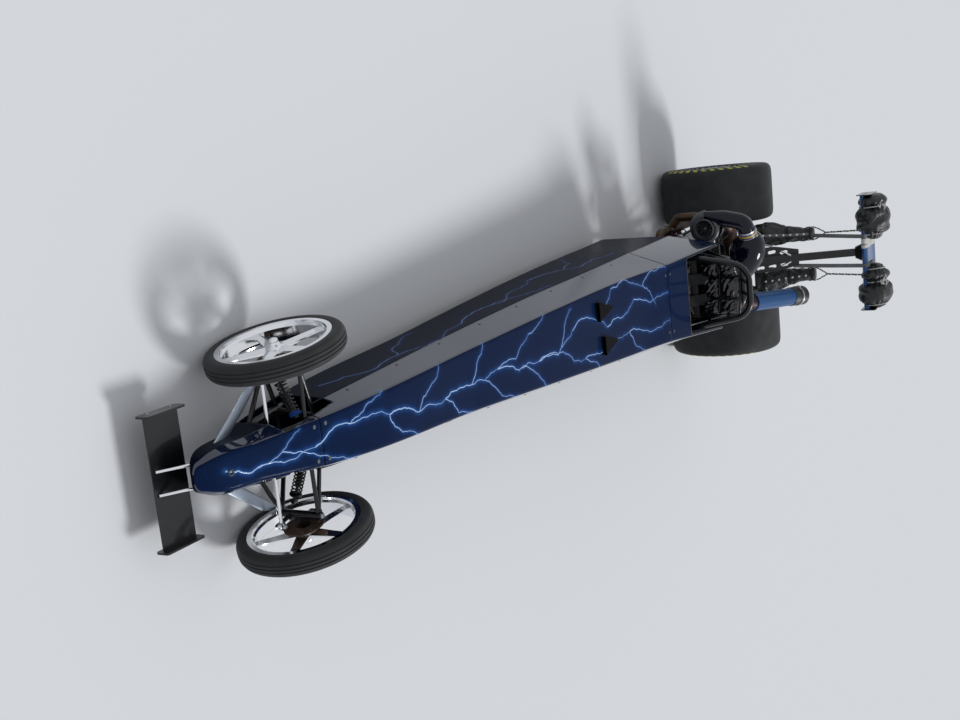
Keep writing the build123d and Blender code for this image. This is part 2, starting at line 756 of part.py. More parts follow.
# Transmission, bolted to the rear motor plate
with BuildPart() as transmission:
    gearbox = [(0, 0), (150, 0), (150, 14), (112, 140), (112, 156), (92, 160), (92, 300), (100, 304),
               (100, 330), (62, 345), (62, 420), (0, 420)]
    ring(Vector(0, aft(ENGINE_REAR + PLATE), CRANK_Z), Vector(0, 1, 0), gearbox)
    for turn in range(0, 360, 30):
        outward = Vector(0, 0, 1).rotate(Axis.Y, turn)
        foot = Vector(0, aft(4925), CRANK_Z) + outward * 90
        tube(foot, foot + Vector(0, 115, 0), 7)
    tube((0, aft(5160), CRANK_Z), (0, aft(5390), 400), 38)
transmission.part.label = "transmission"

# Rear axle: housing fixed to the frame, one shaft with both wheels
SHAFT_RADIUS = 20
HOUSING_END = 225
with BuildPart() as rear_axle_housing:
    with BuildSketch(Plane.XY.offset(REAR_TYRE_RADIUS)):
        with BuildLine():
            Polyline(*mirrored_x([
                (HOUSING_END, REAR_AXLE_Y + SHAFT_RADIUS + 1),
                (HOUSING_END, REAR_AXLE_Y + 42),
                (110, REAR_AXLE_Y + 42),
                (90, REAR_AXLE_Y + 95),
                (60, REAR_AXLE_Y + 138),
            ]), close=True)
        make_face()
    revolve(axis=Axis((0, REAR_AXLE_Y, REAR_TYRE_RADIUS), (1, 0, 0)))
    for side in (-1, 1):
        with BuildSketch(Plane.YZ.offset(side * 212)):
            with Locations((REAR_AXLE_Y, 400)):
                Rectangle(90, 230)
        extrude(amount=6, both=True)
    with BuildSketch(Plane.YZ.offset(-300)):
        with Locations((REAR_AXLE_Y, REAR_TYRE_RADIUS)):
            Circle(SHAFT_RADIUS + 1)
    extrude(amount=600, mode=Mode.SUBTRACT)
    add(rear_frame.part, mode=Mode.SUBTRACT)
    add(transmission.part, mode=Mode.SUBTRACT)
rear_axle_housing.part.label = "rear_axle_housing"

with BuildPart() as rear_axle_shaft:
    tube((-560, REAR_AXLE_Y, REAR_TYRE_RADIUS), (560, REAR_AXLE_Y, REAR_TYRE_RADIUS), SHAFT_RADIUS)
    for side in (-1, 1):
        tube((side * 262, REAR_AXLE_Y, REAR_TYRE_RADIUS), (side * 272, REAR_AXLE_Y, REAR_TYRE_RADIUS), 140)
rear_axle_shaft.part.label = "rear_axle_shaft"

# Wheel profiles: radius and distance out from the wheel's middle plane
REAR_TYRE_OUTLINE = [
    (REAR_BEAD_RADIUS, 200),
    (REAR_BEAD_RADIUS + 13, 200),
    (REAR_BEAD_RADIUS + 17, 212),
    (270, 217),
    (340, 218),
    (388, 213),
    (412, 201),
    (424, 182),
    (429, 150),
    (REAR_TYRE_RADIUS, 100),
]
REAR_RIM_OUTLINE = [
    (188, 110),
    (REAR_BEAD_RADIUS, 140),
    (REAR_BEAD_RADIUS, 200),
    (REAR_BEAD_RADIUS + 13, 200),
    (REAR_BEAD_RADIUS + 13, 208),
    (REAR_BEAD_RADIUS - 8, 208),
    (REAR_BEAD_RADIUS - 8, 150),
    (180, 118),
]
REAR_CENTRE_OUTLINE = [
    (SHAFT_RADIUS, -12),
    (52, -12),
    (58, 20),
    (184, 20),
    (184, 34),
    (64, 46),
    (SHAFT_RADIUS, 46),
]
REAR_WINDOWS = 5
FRONT_TYRE_OUTLINE = [
    (FRONT_BEAD_RADIUS, 34),
    (FRONT_BEAD_RADIUS + 14, 34),
    (FRONT_BEAD_RADIUS + 17, 41),
    (252, 44),
    (266, 42),
    (277, 35),
    (284, 22),
    (FRONT_TYRE_RADIUS, 9),
]
FRONT_RIM_OUTLINE = [
    (214, 18),
    (FRONT_BEAD_RADIUS, 26),
    (FRONT_BEAD_RADIUS, 34),
    (FRONT_BEAD_RADIUS + 14, 34),
    (FRONT_BEAD_RADIUS + 14, 40),
    (216, 40),
    (214, 30),
    (207, 20),
]
FRONT_HUB_OUTLINE = [(13, -14), (42, -14), (46, 4), (34, 18), (24, 24), (20, 32), (0, 32), (0, 17), (13, 17)]
FRONT_SPOKES = 5
SPOKE_BACK = -5
# Spoke sections: radius, width, then the heights of its edges and of its ridge
SPOKE_SECTIONS = [(36, 60, 4, 17), (120, 45, 2, 14), (211, 36, 1, 11)]
DISC_OUTLINE = [(30, -14), (36, -14), (36, -30), (85, -30), (85, -36), (30, -36)]
DISC_HOLES = 12


def wheel_frame(side, steered, centre):
    """Centre and outward axle direction of a wheel."""
    axle = Vector(side * cos(steered), side * sin(steered), 0)
    return Vector(*centre), axle


def both_ways(half):
    """A half wheel outline with its other half, as one closed run."""
    return half + [(r, -offset) for r, offset in reversed(half)]


def spoke(centre, axle, turn):
    """One tapered spoke with a ridge down its outer face, kept apart until it is added."""
    outward = Vector(0, 0, 1).rotate(Axis(centre, axle), turn)
    sections = []
    for radius, width, edge, ridge in SPOKE_SECTIONS:
        place = Plane(origin=centre + outward * radius, x_dir=axle.cross(outward), z_dir=outward)
        with BuildSketch(place) as section:
            with BuildLine():
                Polyline(
                    (-width / 2, SPOKE_BACK),
                    (width / 2, SPOKE_BACK),
                    (width / 2, edge),
                    (0, ridge),
                    (-width / 2, edge),
                    close=True,
                )
            make_face()
        sections.append(section.sketch)
    return loft(sections=sections, ruled=True, mode=Mode.PRIVATE)


def across_wheel(centre, axle, offset):
    """Plane square to a wheel's axle at an offset from its middle, local x straight up."""
    return Plane(origin=centre + axle * offset, x_dir=(0, 0, 1), z_dir=axle)


SPRING_RADIUS = 21
SPRING_WIRE = 3.4
SPRING_PITCH = 16.5
FRONT_CENTRE = {}
for side in (-1, 1):
    reach = FRONT_TRACK / 2 - KINGPIN_X
    FRONT_CENTRE[side] = (
        side * (KINGPIN_X + reach * cos(STEERED)),
        aft(0) + side * reach * sin(STEERED),
        FRONT_TYRE_RADIUS,
    )

SIDES = [("left", 1), ("right", -1)]
for name, side in SIDES:
    centre, axle = wheel_frame(side, 0, (side * REAR_TRACK / 2, REAR_AXLE_Y, REAR_TYRE_RADIUS))
    with BuildPart() as rear_rim:
        ring(centre, axle, both_ways(REAR_RIM_OUTLINE))
        ring(centre, axle, REAR_CENTRE_OUTLINE)
        with BuildSketch(across_wheel(centre, axle, 0)) as windows:
            with PolarLocations(122, REAR_WINDOWS):
                RectangleRounded(86, 62, 22)
        extrude(windows.sketch, amount=60, mode=Mode.SUBTRACT)
    rear_rim.part.label = f"rear_rim_{name}"
    export_step(rear_rim.part, f"parts/rear_rim_{name}.step")

    with BuildPart() as rear_tyre:
        ring(centre, axle, both_ways(REAR_TYRE_OUTLINE))
    rear_tyre.part.label = f"rear_tyre_{name}"
    export_step(rear_tyre.part, f"parts/rear_tyre_{name}.step")

    centre, axle = wheel_frame(side, STEERED, FRONT_CENTRE[side])
    with BuildPart() as front_rim:
        ring(centre, axle, both_ways(FRONT_RIM_OUTLINE))
        ring(centre, axle, FRONT_HUB_OUTLINE)
        add([spoke(centre, axle, turn) for turn in range(0, 360, 360 // FRONT_SPOKES)])
    front_rim.part.label = f"front_rim_{name}"
    export_step(front_rim.part, f"parts/front_rim_{name}.step")

    with BuildPart() as front_disc:
        ring(centre, axle, DISC_OUTLINE)
        with BuildSketch(across_wheel(centre, axle, -40)) as holes:
            with PolarLocations(68, DISC_HOLES):
                Circle(5)
        extrude(holes.sketch, amount=20, mode=Mode.SUBTRACT)
    front_disc.part.label = f"front_disc_{name}"
    export_step(front_disc.part, f"parts/front_disc_{name}.step")

    with BuildPart() as front_tyre:
        ring(centre, axle, both_ways(FRONT_TYRE_OUTLINE))
    front_tyre.part.label = f"front_tyre_{name}"
    export_step(front_tyre.part, f"parts/front_tyre_{name}.step")

    pin = Vector(side * KINGPIN_X, aft(0), 0)
    arm_out = Vector(sin(STEERED), -cos(STEERED), 0)
    with BuildPart() as knuckle:
        tube((pin.X, pin.Y, LOWER_JOINT_Z + 16), (pin.X, pin.Y, UPPER_JOINT_Z - 16), 17)
        hub = Vector(pin.X, pin.Y, FRONT_TYRE_RADIUS)
        tip = pin + arm_out * 100 + Vector(0, 0, 240)
        tube((pin.X, pin.Y, 240), tuple(tip), 9)
        tube(tuple(tip - Vector(0, 0, 8)), tuple(tip + Vector(0, 0, 34)), 6)
        grip = Plane(origin=centre - axle * 33, x_dir=arm_out * -1, z_dir=axle)
        with BuildSketch(grip) as caliper:
            with Locations((73, 0)):
                RectangleRounded(58, 62, 10)
        extrude(caliper.sketch, amount=19, both=True)
        tube(tuple(hub), tuple(centre - axle * 46 - arm_out * 62), 8)
        with BuildSketch(grip) as slot:
            with Locations((46, 0)):
                Rectangle(92, 80)
        extrude(slot.sketch, amount=8, both=True, mode=Mode.SUBTRACT)
        tube(tuple(hub), tuple(centre + axle * 14), 12)
    knuckle.part.label = f"knuckle_{name}"
    export_step(knuckle.part, f"parts/knuckle_{name}.step")

    with BuildPart() as front_arms:
        foot = (pin.X, pin.Y, LOWER_JOINT_Z)
        for reach in (-110, 110):
            tube(rail_point(LOWER_RAIL, reach, side), foot, 10)
        tube((pin.X, pin.Y, LOWER_JOINT_Z - 15), (pin.X, pin.Y, LOWER_JOINT_Z + 15), 16)
        head = (pin.X, pin.Y, UPPER_JOINT_Z)
        tube(rail_point(UPPER_RAIL, 0, side), head, 9)
        tube((side * 87, aft(UPRIGHTS[1]), 340), head, 9)
        tube((pin.X, pin.Y, UPPER_JOINT_Z - 15), (pin.X, pin.Y, UPPER_JOINT_Z + 15), 16)
        add(front_frame.part, mode=Mode.SUBTRACT)
    front_arms.part.label = f"front_arms_{name}"
    export_step(front_arms.part, f"parts/front_arms_{name}.step")

    with BuildPart() as coilover:
        top = Vector(side * 92, aft(40), 300)
        run = Vector(side * 262, aft(44), 226) - top
        along = run.normalized()
        tube(top, top + run * 0.62, 13)
        tube(top, top + run, 6)
        for share in (0.16, 0.84):
            tube(top + run * share - along * 2.5, top + run * share + along * 2.5, 26)
        tube(top + run - Vector(0, 12, 0), top + run + Vector(0, 12, 0), 11)
        spring_start = top + run * 0.16 + along * 4
        spring_length = run.length * 0.68 - 8
        with BuildLine() as coil:
            Helix(SPRING_PITCH, spring_length, SPRING_RADIUS, center=spring_start, direction=along)
        with BuildSketch(Plane(origin=coil.line @ 0, z_dir=coil.line % 0)) as wire:
            Circle(SPRING_WIRE)
        sweep(wire.sketch, path=coil.line, is_frenet=True)
    coilover.part.label = f"coilover_{name}"
    export_step(coilover.part, f"parts/coilover_{name}.step")

# Steering rack with both tie rods, which slide together
RACK_Z = 262
TIE_AFT = -100 * cos(STEERED)
SHIFT = 100 * sin(STEERED)
with BuildPart() as steering_rack:
    ends = [(side * KINGPIN_X + SHIFT, aft(TIE_AFT), RACK_Z) for side in (-1, 1)]
    tube((ends[0][0] + 16, ends[0][1], RACK_Z), (ends[1][0] - 16, ends[1][1], RACK_Z), 8)
    for end in ends:
        with BuildSketch(Plane.XY.offset(RACK_Z - 8)):
            with Locations((end[0], end[1])):
                Circle(17)
                Circle(11, mode=Mode.SUBTRACT)
        extrude(amount=16)
steering_rack.part.label = "steering_rack"

with BuildPart() as rack_housing:
    tube((-75, aft(TIE_AFT), RACK_Z), (75, aft(TIE_AFT), RACK_Z), 24)
    tube((0, aft(TIE_AFT), RACK_Z), (0, aft(60), 384), 16)
    tube((-90, aft(TIE_AFT), RACK_Z), (90, aft(TIE_AFT), RACK_Z), 10)
    with BuildSketch(Plane.YZ.offset(-100)):
        with Locations((aft(TIE_AFT), RACK_Z)):
            Circle(9)
    extrude(amount=200, mode=Mode.SUBTRACT)
    add(front_frame.part, mode=Mode.SUBTRACT)
rack_housing.part.label = "rack_housing"

# Front wing under the nose, on two struts
with BuildPart() as front_wing:
    with BuildSketch(Plane.XY.offset(116)):
        with Locations((0, aft(-516))):
            RectangleRounded(512, 175, 12)
    extrude(amount=5)
    for side in (-1, 1):
        with BuildSketch(Plane.YZ.offset(side * 256)):
            with Locations((aft(-516), 124)):
                RectangleRounded(205, 62, 12)
        extrude(amount=4, both=True)
front_wing.part.label = "front_wing"

with BuildPart() as front_wing_struts:
    for side in (-1, 1):
        tube((side * 45, aft(-585), 122.5), (side * 45, aft(-470), 200), 6)
    add(nose_form, mode=Mode.SUBTRACT)
    add(front_wing.part, mode=Mode.SUBTRACT)
front_wing_struts.part.label = "front_wing_struts"

# Rear wing with its end plates
with BuildPart() as rear_wing:
    with BuildSketch(Plane.YZ):
        with BuildLine():
            leading = (aft(WING_AFT) - WING_CHORD / 2, WING_Z - 14)
            trailing = (aft(WING_AFT) + WING_CHORD / 2, WING_Z + 20)
            over = [(aft(WING_AFT) + y, WING_Z + z) for y, z in WING_OVER]
            under = [(aft(WING_AFT) + y, WING_Z + z) for y, z in WING_UNDER]
            Spline(leading, *over, trailing)
            Spline(leading, *under, (trailing[0], trailing[1] - 3))
            Line(trailing, (trailing[0], trailing[1] - 3))
        make_face()
    extrude(amount=WING_HALF_SPAN, both=True)
    for side in (-1, 1):
        with BuildSketch(Plane.YZ.offset(side * (WING_HALF_SPAN + 3))):
            with Locations((aft(WING_AFT), WING_Z)):
                RectangleRounded(WING_CHORD + 20, 110, 22)
        extrude(amount=3, both=True)
rear_wing.part.label = "rear_wing"

POST_FOOT = Vector(0, aft(5130), 480)
POST_HEAD = Vector(0, aft(WING_AFT - 20), WING_Z - 18)
POST_RUN = (POST_HEAD - POST_FOOT).normalized()
with BuildPart() as wing_post:
    with BuildSketch(Plane(origin=POST_FOOT, x_dir=(1, 0, 0), z_dir=POST_RUN)):
        RectangleRounded(58, 36, 8)
    extrude(amount=(POST_HEAD - POST_FOOT).length)
    with BuildSketch(Plane.XY.offset(WING_Z - 90)) as saddle:
        with Locations((0, aft(WING_AFT - 44))):
            RectangleRounded(86, 60, 10)
    with BuildSketch(Plane.XY.offset(WING_Z - 20)) as pad:
        with Locations((0, aft(WING_AFT - 20))):
            RectangleRounded(150, 150, 20)
    loft(sections=[saddle.sketch, pad.sketch], ruled=True)
    add([rear_frame.part, rear_wing.part], mode=Mode.SUBTRACT)
wing_post.part.label = "wing_post"

# Slotted plate behind the post, that the parachute packs are strapped to
BRACKET_REACH = 300
with BuildPart() as wing_bracket:
    face = Plane(origin=POST_FOOT + POST_RUN * BRACKET_REACH, x_dir=(1, 0, 0), z_dir=POST_RUN)
    back = Plane(origin=face.origin + face.y_dir * 18, x_dir=(1, 0, 0), z_dir=face.y_dir)
    with BuildSketch(back):
        with BuildLine():
            Polyline(*mirrored_x([(96, 0), (96, -190), (62, -362)]), close=True)
        make_face()
        for x, y in BRACKET_SLOTS:
            with Locations((-x, y), (x, y)):
                SlotOverall(58, 24, rotation=82, mode=Mode.SUBTRACT)
    extrude(amount=5)
    add([rear_frame.part, wing_post.part], mode=Mode.SUBTRACT)
wing_bracket.part.label = "wing_bracket"

with BuildPart() as wing_braces:
    for side in (-1, 1):
        tube((side * 22, aft(5322), 1044), (side * 150, aft(CHUTE_BAR) - 2, CHUTE_BAR_Z + 8), 8)
    add([rear_frame.part, wing_post.part, wing_bracket.part], mode=Mode.SUBTRACT)
wing_braces.part.label = "wing_braces"

for name, side in SIDES:
    with BuildPart() as chute_pack:
        sections = []
        for z, x, width, depth in PACK_SECTIONS:
            with BuildSketch(Plane.XY.offset(z)) as section:
                with Locations((side * x, aft(CHUTE_BAR) + (z - CHUTE_BAR_Z) * POST_LEAN)):
                    RectangleRounded(width, depth, depth * 0.35)
            sections.append(section.sketch)
        loft(sections=sections)
        add([rear_frame.part, wing_bracket.part, wing_braces.part, outlet_pipe.part], mode=Mode.SUBTRACT)
    chute_pack.part.label = f"chute_pack_{name}"
    export_step(chute_pack.part, f"parts/chute_pack_{name}.step")

    with BuildPart() as chute_bundle:
        sections = []
        for x, depth, height in BUNDLE_SECTIONS:
            with BuildSketch(Plane.YZ.offset(side * x)) as section:
                with Locations((aft(WING_AFT - 20), WING_Z + 42)):
                    RectangleRounded(depth, height, height * 0.45)
            sections.append(section.sketch)
        loft(sections=sections)
        add([rear_wing.part, wing_post.part], mode=Mode.SUBTRACT)
    chute_bundle.part.label = f"chute_bundle_{name}"
    export_step(chute_bundle.part, f"parts/chute_bundle_{name}.step")

NODES = [
    ("front_frame", front_frame),
    ("cockpit_frame", cockpit_frame),
    ("rear_frame", rear_frame),
    ("roll_cage", roll_cage),
    ("nose_cone", nose_cone),
    ("front_deck", front_deck),
    ("deck_scoops", deck_scoops),
    ("belly_pan", belly_pan),
    ("cockpit_cowl", cockpit_cowl),
    ("seat", seat),
    ("head_surround", head_surround),
    ("firewall", firewall),
    ("steering_wheel", steering_wheel),
    ("motor_plates", motor_plates),
    ("engine_block", engine_block),
    ("valve_covers", valve_covers),
    ("intake_plenum", intake_plenum),
    ("turbocharger", turbocharger),
    ("turbine_housing", turbine_housing),
    ("charge_pipe", charge_pipe),
    ("charge_coupler", charge_coupler),
    ("charge_hat", charge_hat),
    ("headers", headers),
    ("exhaust_crossover", exhaust_crossover),
    ("outlet_pipe", outlet_pipe),
    ("outlet_cap", outlet_cap),
    ("transmission", transmission),
    ("rear_axle_housing", rear_axle_housing),
    ("rear_axle_shaft", rear_axle_shaft),
    ("steering_rack", steering_rack),
    ("rack_housing", rack_housing),
    ("front_wing", front_wing),
    ("front_wing_struts", front_wing_struts),
    ("rear_wing", rear_wing),
    ("wing_post", wing_post),
    ("wing_bracket", wing_bracket),
    ("wing_braces", wing_braces),
]
for name, piece in NODES:
    export_step(piece.part, f"parts/{name}.step")
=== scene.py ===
"""Looks for a rear-engined drag racing car, laid out as an add-on and run as a script.

Everything is in metres. The car points along -Y, its left side is +X and the floor is Z = 0.
Lengths along the car are given aft of the front axle.
"""

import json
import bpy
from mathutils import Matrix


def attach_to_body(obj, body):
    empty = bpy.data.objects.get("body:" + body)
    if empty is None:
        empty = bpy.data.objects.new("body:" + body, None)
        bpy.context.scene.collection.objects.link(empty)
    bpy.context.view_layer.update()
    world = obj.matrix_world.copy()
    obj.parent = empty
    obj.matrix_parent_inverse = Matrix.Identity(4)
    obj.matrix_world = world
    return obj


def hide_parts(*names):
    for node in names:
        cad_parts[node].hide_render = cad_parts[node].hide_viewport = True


bl_info = {
    "name": "Drag racing car looks",
    "version": (1, 0, 0),
    "blender": (4, 5, 0),
    "location": "3D View > Sidebar > Drag car",
    "description": "Paint, metal, rubber and fabric for a drag racing car",
    "category": "Object",
}

from math import cos, pi, radians, sin

import bmesh
import bpy
import numpy as np
from bpy.props import FloatProperty, IntProperty, PointerProperty, StringProperty
from mathutils import Matrix, Vector

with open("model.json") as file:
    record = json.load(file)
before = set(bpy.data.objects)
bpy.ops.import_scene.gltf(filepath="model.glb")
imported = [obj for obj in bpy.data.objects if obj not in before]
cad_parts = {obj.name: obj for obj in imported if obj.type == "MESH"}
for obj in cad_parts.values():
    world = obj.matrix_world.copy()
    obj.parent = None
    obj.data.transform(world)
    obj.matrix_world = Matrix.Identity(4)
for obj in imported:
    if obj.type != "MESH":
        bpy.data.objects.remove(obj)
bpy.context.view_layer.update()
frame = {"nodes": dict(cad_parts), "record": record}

# Camera: where it stands, the point that it looks at, and how far the picture is turned
CAMERA_PLACE = Vector((-1.077, -6.224, 3.154))
CAMERA_AIM = Vector((-0.0357, -1.2607, 0.4))
CAMERA_ROLL = radians(89.7)
CAMERA_LENS = 43.12
SENSOR = 36.0
ROOM_LIGHT = 0.55
KEY_LIGHT = 1.7
KEY_SPREAD = radians(16)
KEY_PLACE = Vector((4.0, 1.6, 5.2))

# Body, as in the part's source
FRONT_AXLE = -2.680
NOSE_SEAM = 0.016
COWL_START = 3.285
CREST = 3.530
COWL_END = 3.990
PANEL = 0.005
DECK_ROUND = 0.025
BELLY_ROUND = 0.020
SEAM_GAP = 0.0018
# Stations: aft, deck edge x and z, crease x and z, belly edge x and z
BODY = np.array([
    (-0.516, 0.016, 0.238, 0.020, 0.231, 0.018, 0.222),
    (-0.510, 0.030, 0.243, 0.037, 0.231, 0.034, 0.216),
    (-0.503, 0.040, 0.249, 0.050, 0.232, 0.046, 0.210),
    (-0.482, 0.050, 0.266, 0.063, 0.240, 0.058, 0.192),
    (-0.250, 0.074, 0.351, 0.099, 0.287, 0.101, 0.150),
    (0.016, 0.095, 0.429, 0.129, 0.331, 0.139, 0.120),
    (1.200, 0.152, 0.525, 0.209, 0.370, 0.224, 0.100),
    (2.000, 0.195, 0.594, 0.260, 0.415, 0.282, 0.096),
    (2.800, 0.229, 0.678, 0.302, 0.480, 0.329, 0.096),
    (3.000, 0.234, 0.706, 0.313, 0.492, 0.338, 0.096),
    (3.285, 0.241, 0.762, 0.331, 0.515, 0.349, 0.096),
    (3.530, 0.2571, 0.8055, 0.3416, 0.5304, 0.3569, 0.096),
    (4.000, 0.288, 0.889, 0.362, 0.560, 0.372, 0.096),
])

# Wheels, as in the part's source
FRONT_TYRE_RADIUS = 0.286
REAR_TYRE_RADIUS = 0.430
STEERED = radians(11.5)
KINGPIN_X = 0.302
FRONT_TRACK = 0.772
REAR_TRACK = 1.036
REAR_AXLE = 5.550
# Half profiles: radius and distance out from the wheel's middle plane
REAR_TYRE = [(0.205, 0.200), (0.218, 0.200), (0.222, 0.212), (0.245, 0.216), (0.270, 0.217), (0.305, 0.219),
             (0.340, 0.218), (0.366, 0.216), (0.388, 0.213), (0.402, 0.208), (0.412, 0.201), (0.424, 0.182),
             (0.429, 0.150), (0.430, 0.100), (0.430, 0.040)]
FRONT_SIDEWALL = [(0.222, 0.034), (0.236, 0.034), (0.239, 0.041), (0.252, 0.044), (0.266, 0.042),
                  (0.277, 0.035), (0.284, 0.022)]
FRONT_TREAD = [(0.2850, 0.0185), (0.2815, 0.0175), (0.2815, 0.0145), (0.2855, 0.0135), (0.2860, 0.0035),
               (0.2820, 0.0025)]

# Engine, as in the part's source
ENGINE_FRONT = 4.200
ENGINE_REAR = 4.740
PORTS = [ENGINE_FRONT + 0.080 + 0.125 * port for port in range(4)]
PLENUM_END = 4.600
CRANK_Z = 0.300
TURBO = np.array([-0.372, FRONT_AXLE + 4.200, 0.742])
CHARGE_BEND = np.array([-0.392, FRONT_AXLE + 4.290, 0.985])
CHARGE_END = np.array([-0.290, FRONT_AXLE + 4.350, 0.990])
CHARGE_RADIUS = 0.056
OUTLET_START = np.array([0.240, FRONT_AXLE + 4.750, 0.880])
OUTLET_END = np.array([0.280, FRONT_AXLE + 5.280, 1.112])
OUTLET_RADIUS = 0.067

# Wing and parachutes, as in the part's source
WING_AFT = 5.585
WING_Z = 1.575
CHUTE_BAR = 5.440
CHUTE_BAR_Z = 0.735
POST_LEAN = 0.362
# Loop round the wing's section, 3 mm off it, from its middle underneath and forward: aft and up
WING_LOOP = [(0.010, -0.031), (-0.070, -0.040), (-0.131, -0.029), (-0.1435, -0.014), (-0.128, 0.0035),
             (-0.070, 0.0125), (0.010, 0.0125), (0.080, 0.0155), (0.139, 0.0235), (0.1435, 0.020),
             (0.138, 0.013), (0.080, -0.0115), (0.016, -0.031)]
# Packs: z, x, width and depth; bundles: x, depth and height
PACK_SECTIONS = np.array([(0.748, 0.180, 0.176, 0.150), (0.860, 0.178, 0.192, 0.170),
                          (1.000, 0.166, 0.130, 0.130), (1.165, 0.160, 0.108, 0.104)])
BUNDLE_SECTIONS = np.array([(0.100, 0.150, 0.110), (0.150, 0.270, 0.190), (0.262, 0.330, 0.226),
                            (0.372, 0.310, 0.214), (0.424, 0.190, 0.130)])

# Cockpit, as in the part's source
COLUMN_TOP = np.array([0.0, FRONT_AXLE + 3.430, 0.650])
COLUMN_FOOT = np.array([0.0, FRONT_AXLE + 2.991, 0.560])
WHEEL_TURN = radians(46)
SEAT_BACK_FOOT = np.array([0.0, FRONT_AXLE + 3.735, 0.215])
SEAT_BACK_HEAD = np.array([0.0, FRONT_AXLE + 3.858, 0.765])

SIDES = (("left", 1), ("right", -1))
# The car's left, its rear and up
LEFT, BACK, UP = np.eye(3)
# Openings for the front suspension: aft from and to, z from and to
NOSE_WINDOWS = [(-0.140, 0.020, 0.140, 0.390)]
DECK_WINDOWS = [(-0.025, 0.165, 0.275, 0.395)]
BELLY_WINDOWS = [(-0.025, 0.165, 0.135, 0.335)]

# The cowl's raked rear edge: how far aft its foot is, and its run over its rise
RAKE_FOOT = 3.850
RAKE_RUN = 0.140
RAKE_RISE = 0.804
FLOOR_Z = 0.096

# Columns of the stations, and points on each straight and each arc of a half section
DECK, CREASE, BELLY = 1, 3, 5
UPPER_COUNTS = (24, 8)
LOWER_COUNTS = (22, 8)

# Lightning on the deck: start aft and across, end aft and across, width of its core in mm.
# Across runs from -1 at the right edge of the deck to 1 at its left edge.
DECK_BOLTS = [
    (-0.42, -0.10, -0.02, 0.10, 6.5),
    (-0.02, 0.10, 0.42, -0.10, 6.5),
    (0.42, -0.10, 0.86, 0.20, 6.5),
    (0.86, 0.20, 1.34, -0.05, 6.0),
    (1.34, -0.05, 1.74, 0.22, 6.0),
    (1.74, 0.22, 2.12, -0.25, 5.5),
    (2.12, -0.25, 2.52, 0.02, 5.0),
    (2.52, 0.02, 2.86, -0.42, 5.0),
    (2.86, -0.42, 3.27, -0.30, 4.5),
    (-0.30, -0.05, -0.08, -0.90, 4.0),
    (-0.16, 0.05, 0.20, 1.00, 4.5),
    (0.16, 0.02, 0.40, -1.00, 4.0),
    (0.42, -0.10, 0.62, 1.00, 4.5),
    (0.64, 0.05, 0.84, -1.00, 4.0),
    (0.86, 0.20, 1.10, 1.00, 4.5),
    (1.10, 0.08, 1.24, -1.00, 4.5),
    (1.24, 0.55, 1.52, 1.00, 3.5),
    (1.34, -0.05, 1.66, -0.66, 4.0),
    (1.56, 0.10, 1.80, 1.00, 4.5),
    (1.66, -0.66, 1.84, -1.00, 3.5),
    (1.74, 0.22, 2.24, 0.62, 4.5),
    (1.96, -0.05, 2.12, -0.85, 4.0),
    (2.24, 0.62, 2.40, 1.00, 4.0),
    (2.24, 0.62, 2.78, 0.36, 4.0),
    (2.40, -0.06, 2.60, -0.92, 4.0),
    (2.60, -0.92, 2.98, -0.68, 4.0),
    (2.78, 0.36, 2.96, 0.98, 3.5),
    (2.78, 0.36, 3.27, 0.42, 4.5),
    (2.98, -0.68, 3.27, -0.96, 4.0),
    (2.98, -0.68, 3.12, -0.10, 3.5),
]
# Lightning on the lower sides: start aft and height, end aft and height, width in mm.
# Height runs from 0 at the belly edge to 1 at the crease.
SIDE_BOLTS = [
    (0.30, 0.50, 1.40, 0.80, 5.0),
    (0.80, 0.62, 1.20, 0.20, 4.0),
    (1.40, 0.80, 2.40, 0.35, 5.0),
    (1.80, 0.60, 2.30, 0.92, 4.0),
    (2.40, 0.35, 3.30, 0.75, 5.0),
    (2.75, 0.50, 3.05, 0.10, 4.0),
]
# Length of a ribbon's step, sideways kick of each half, and reach within which a bolt forks off another
BOLT_STEP = 0.004
KINK = 0.10
FORK_REACH = 0.14
# Brightness of the airbrushed halos, how far they reach, and lift of the bright cores off the paint
HALO = 0.42
SIDE_HALO = 0.45
HALO_REACH = 0.02
PAINT_LIFT = 0.0004

# Bars painted on the rear tyres' shoulders: count of each arc, half its angle and a bar's width
BARS = 11
BAR_SPREAD = 48
BAR_WIDTH = radians(4.6)
BAR_RADII = np.linspace(0.352, 0.408, 9)

# Parachutes: middle of the bundles, and how full the fabric is beside its solid before it swells
BUNDLE_AFT = WING_AFT - 0.020
BUNDLE_Z = WING_Z + 0.042
BUNDLE_FIT = 0.93
PACK_FIT = 0.95
# Ties of each bundle: side, x, how far the cloth is drawn in, and how wide the waist is
TIES = [(1, 0.128, 0.16, 0.020), (1, 0.226, 0.30, 0.026), (1, 0.400, 0.10, 0.018),
        (-1, 0.136, 0.20, 0.022), (-1, 0.342, 0.16, 0.020)]
# Heights of each pack's bands, and points and squareness of a loop round it
PACK_BANDS = (0.800, 0.980, 1.140)
PACK_POINTS = 96
PACK_SQUARE = 0.62
# Turns of pale tape round the wing: x, and how far each leans along the wing
TAPE_TURNS = [(-0.052, 0.004), (-0.075, -0.006), (-0.098, 0.003)]

# Cloth of the padded pieces while they swell
CLOTH = {"quality": 6, "mass": 0.15, "tension_stiffness": 12, "compression_stiffness": 12,
         "shear_stiffness": 6, "bending_stiffness": 0.3, "use_pressure": True, "vertex_group_mass": "held"}

# Seed of every random draw, colour of the space round the stage, and angle that counts as an edge
SEED = 7
BACKDROP = "#dfe1e4"
SHARP = radians(38)
MATERIALS = {}
# Nodes whose finish isn't that of their slot in the record
# The turbocharger's cast housing is darkened as painted shade
OWN_FINISH = {"outlet_cap": "hose_black", "deck_scoops": "flat_black", "turbocharger": "turbo_shaded_grey"}


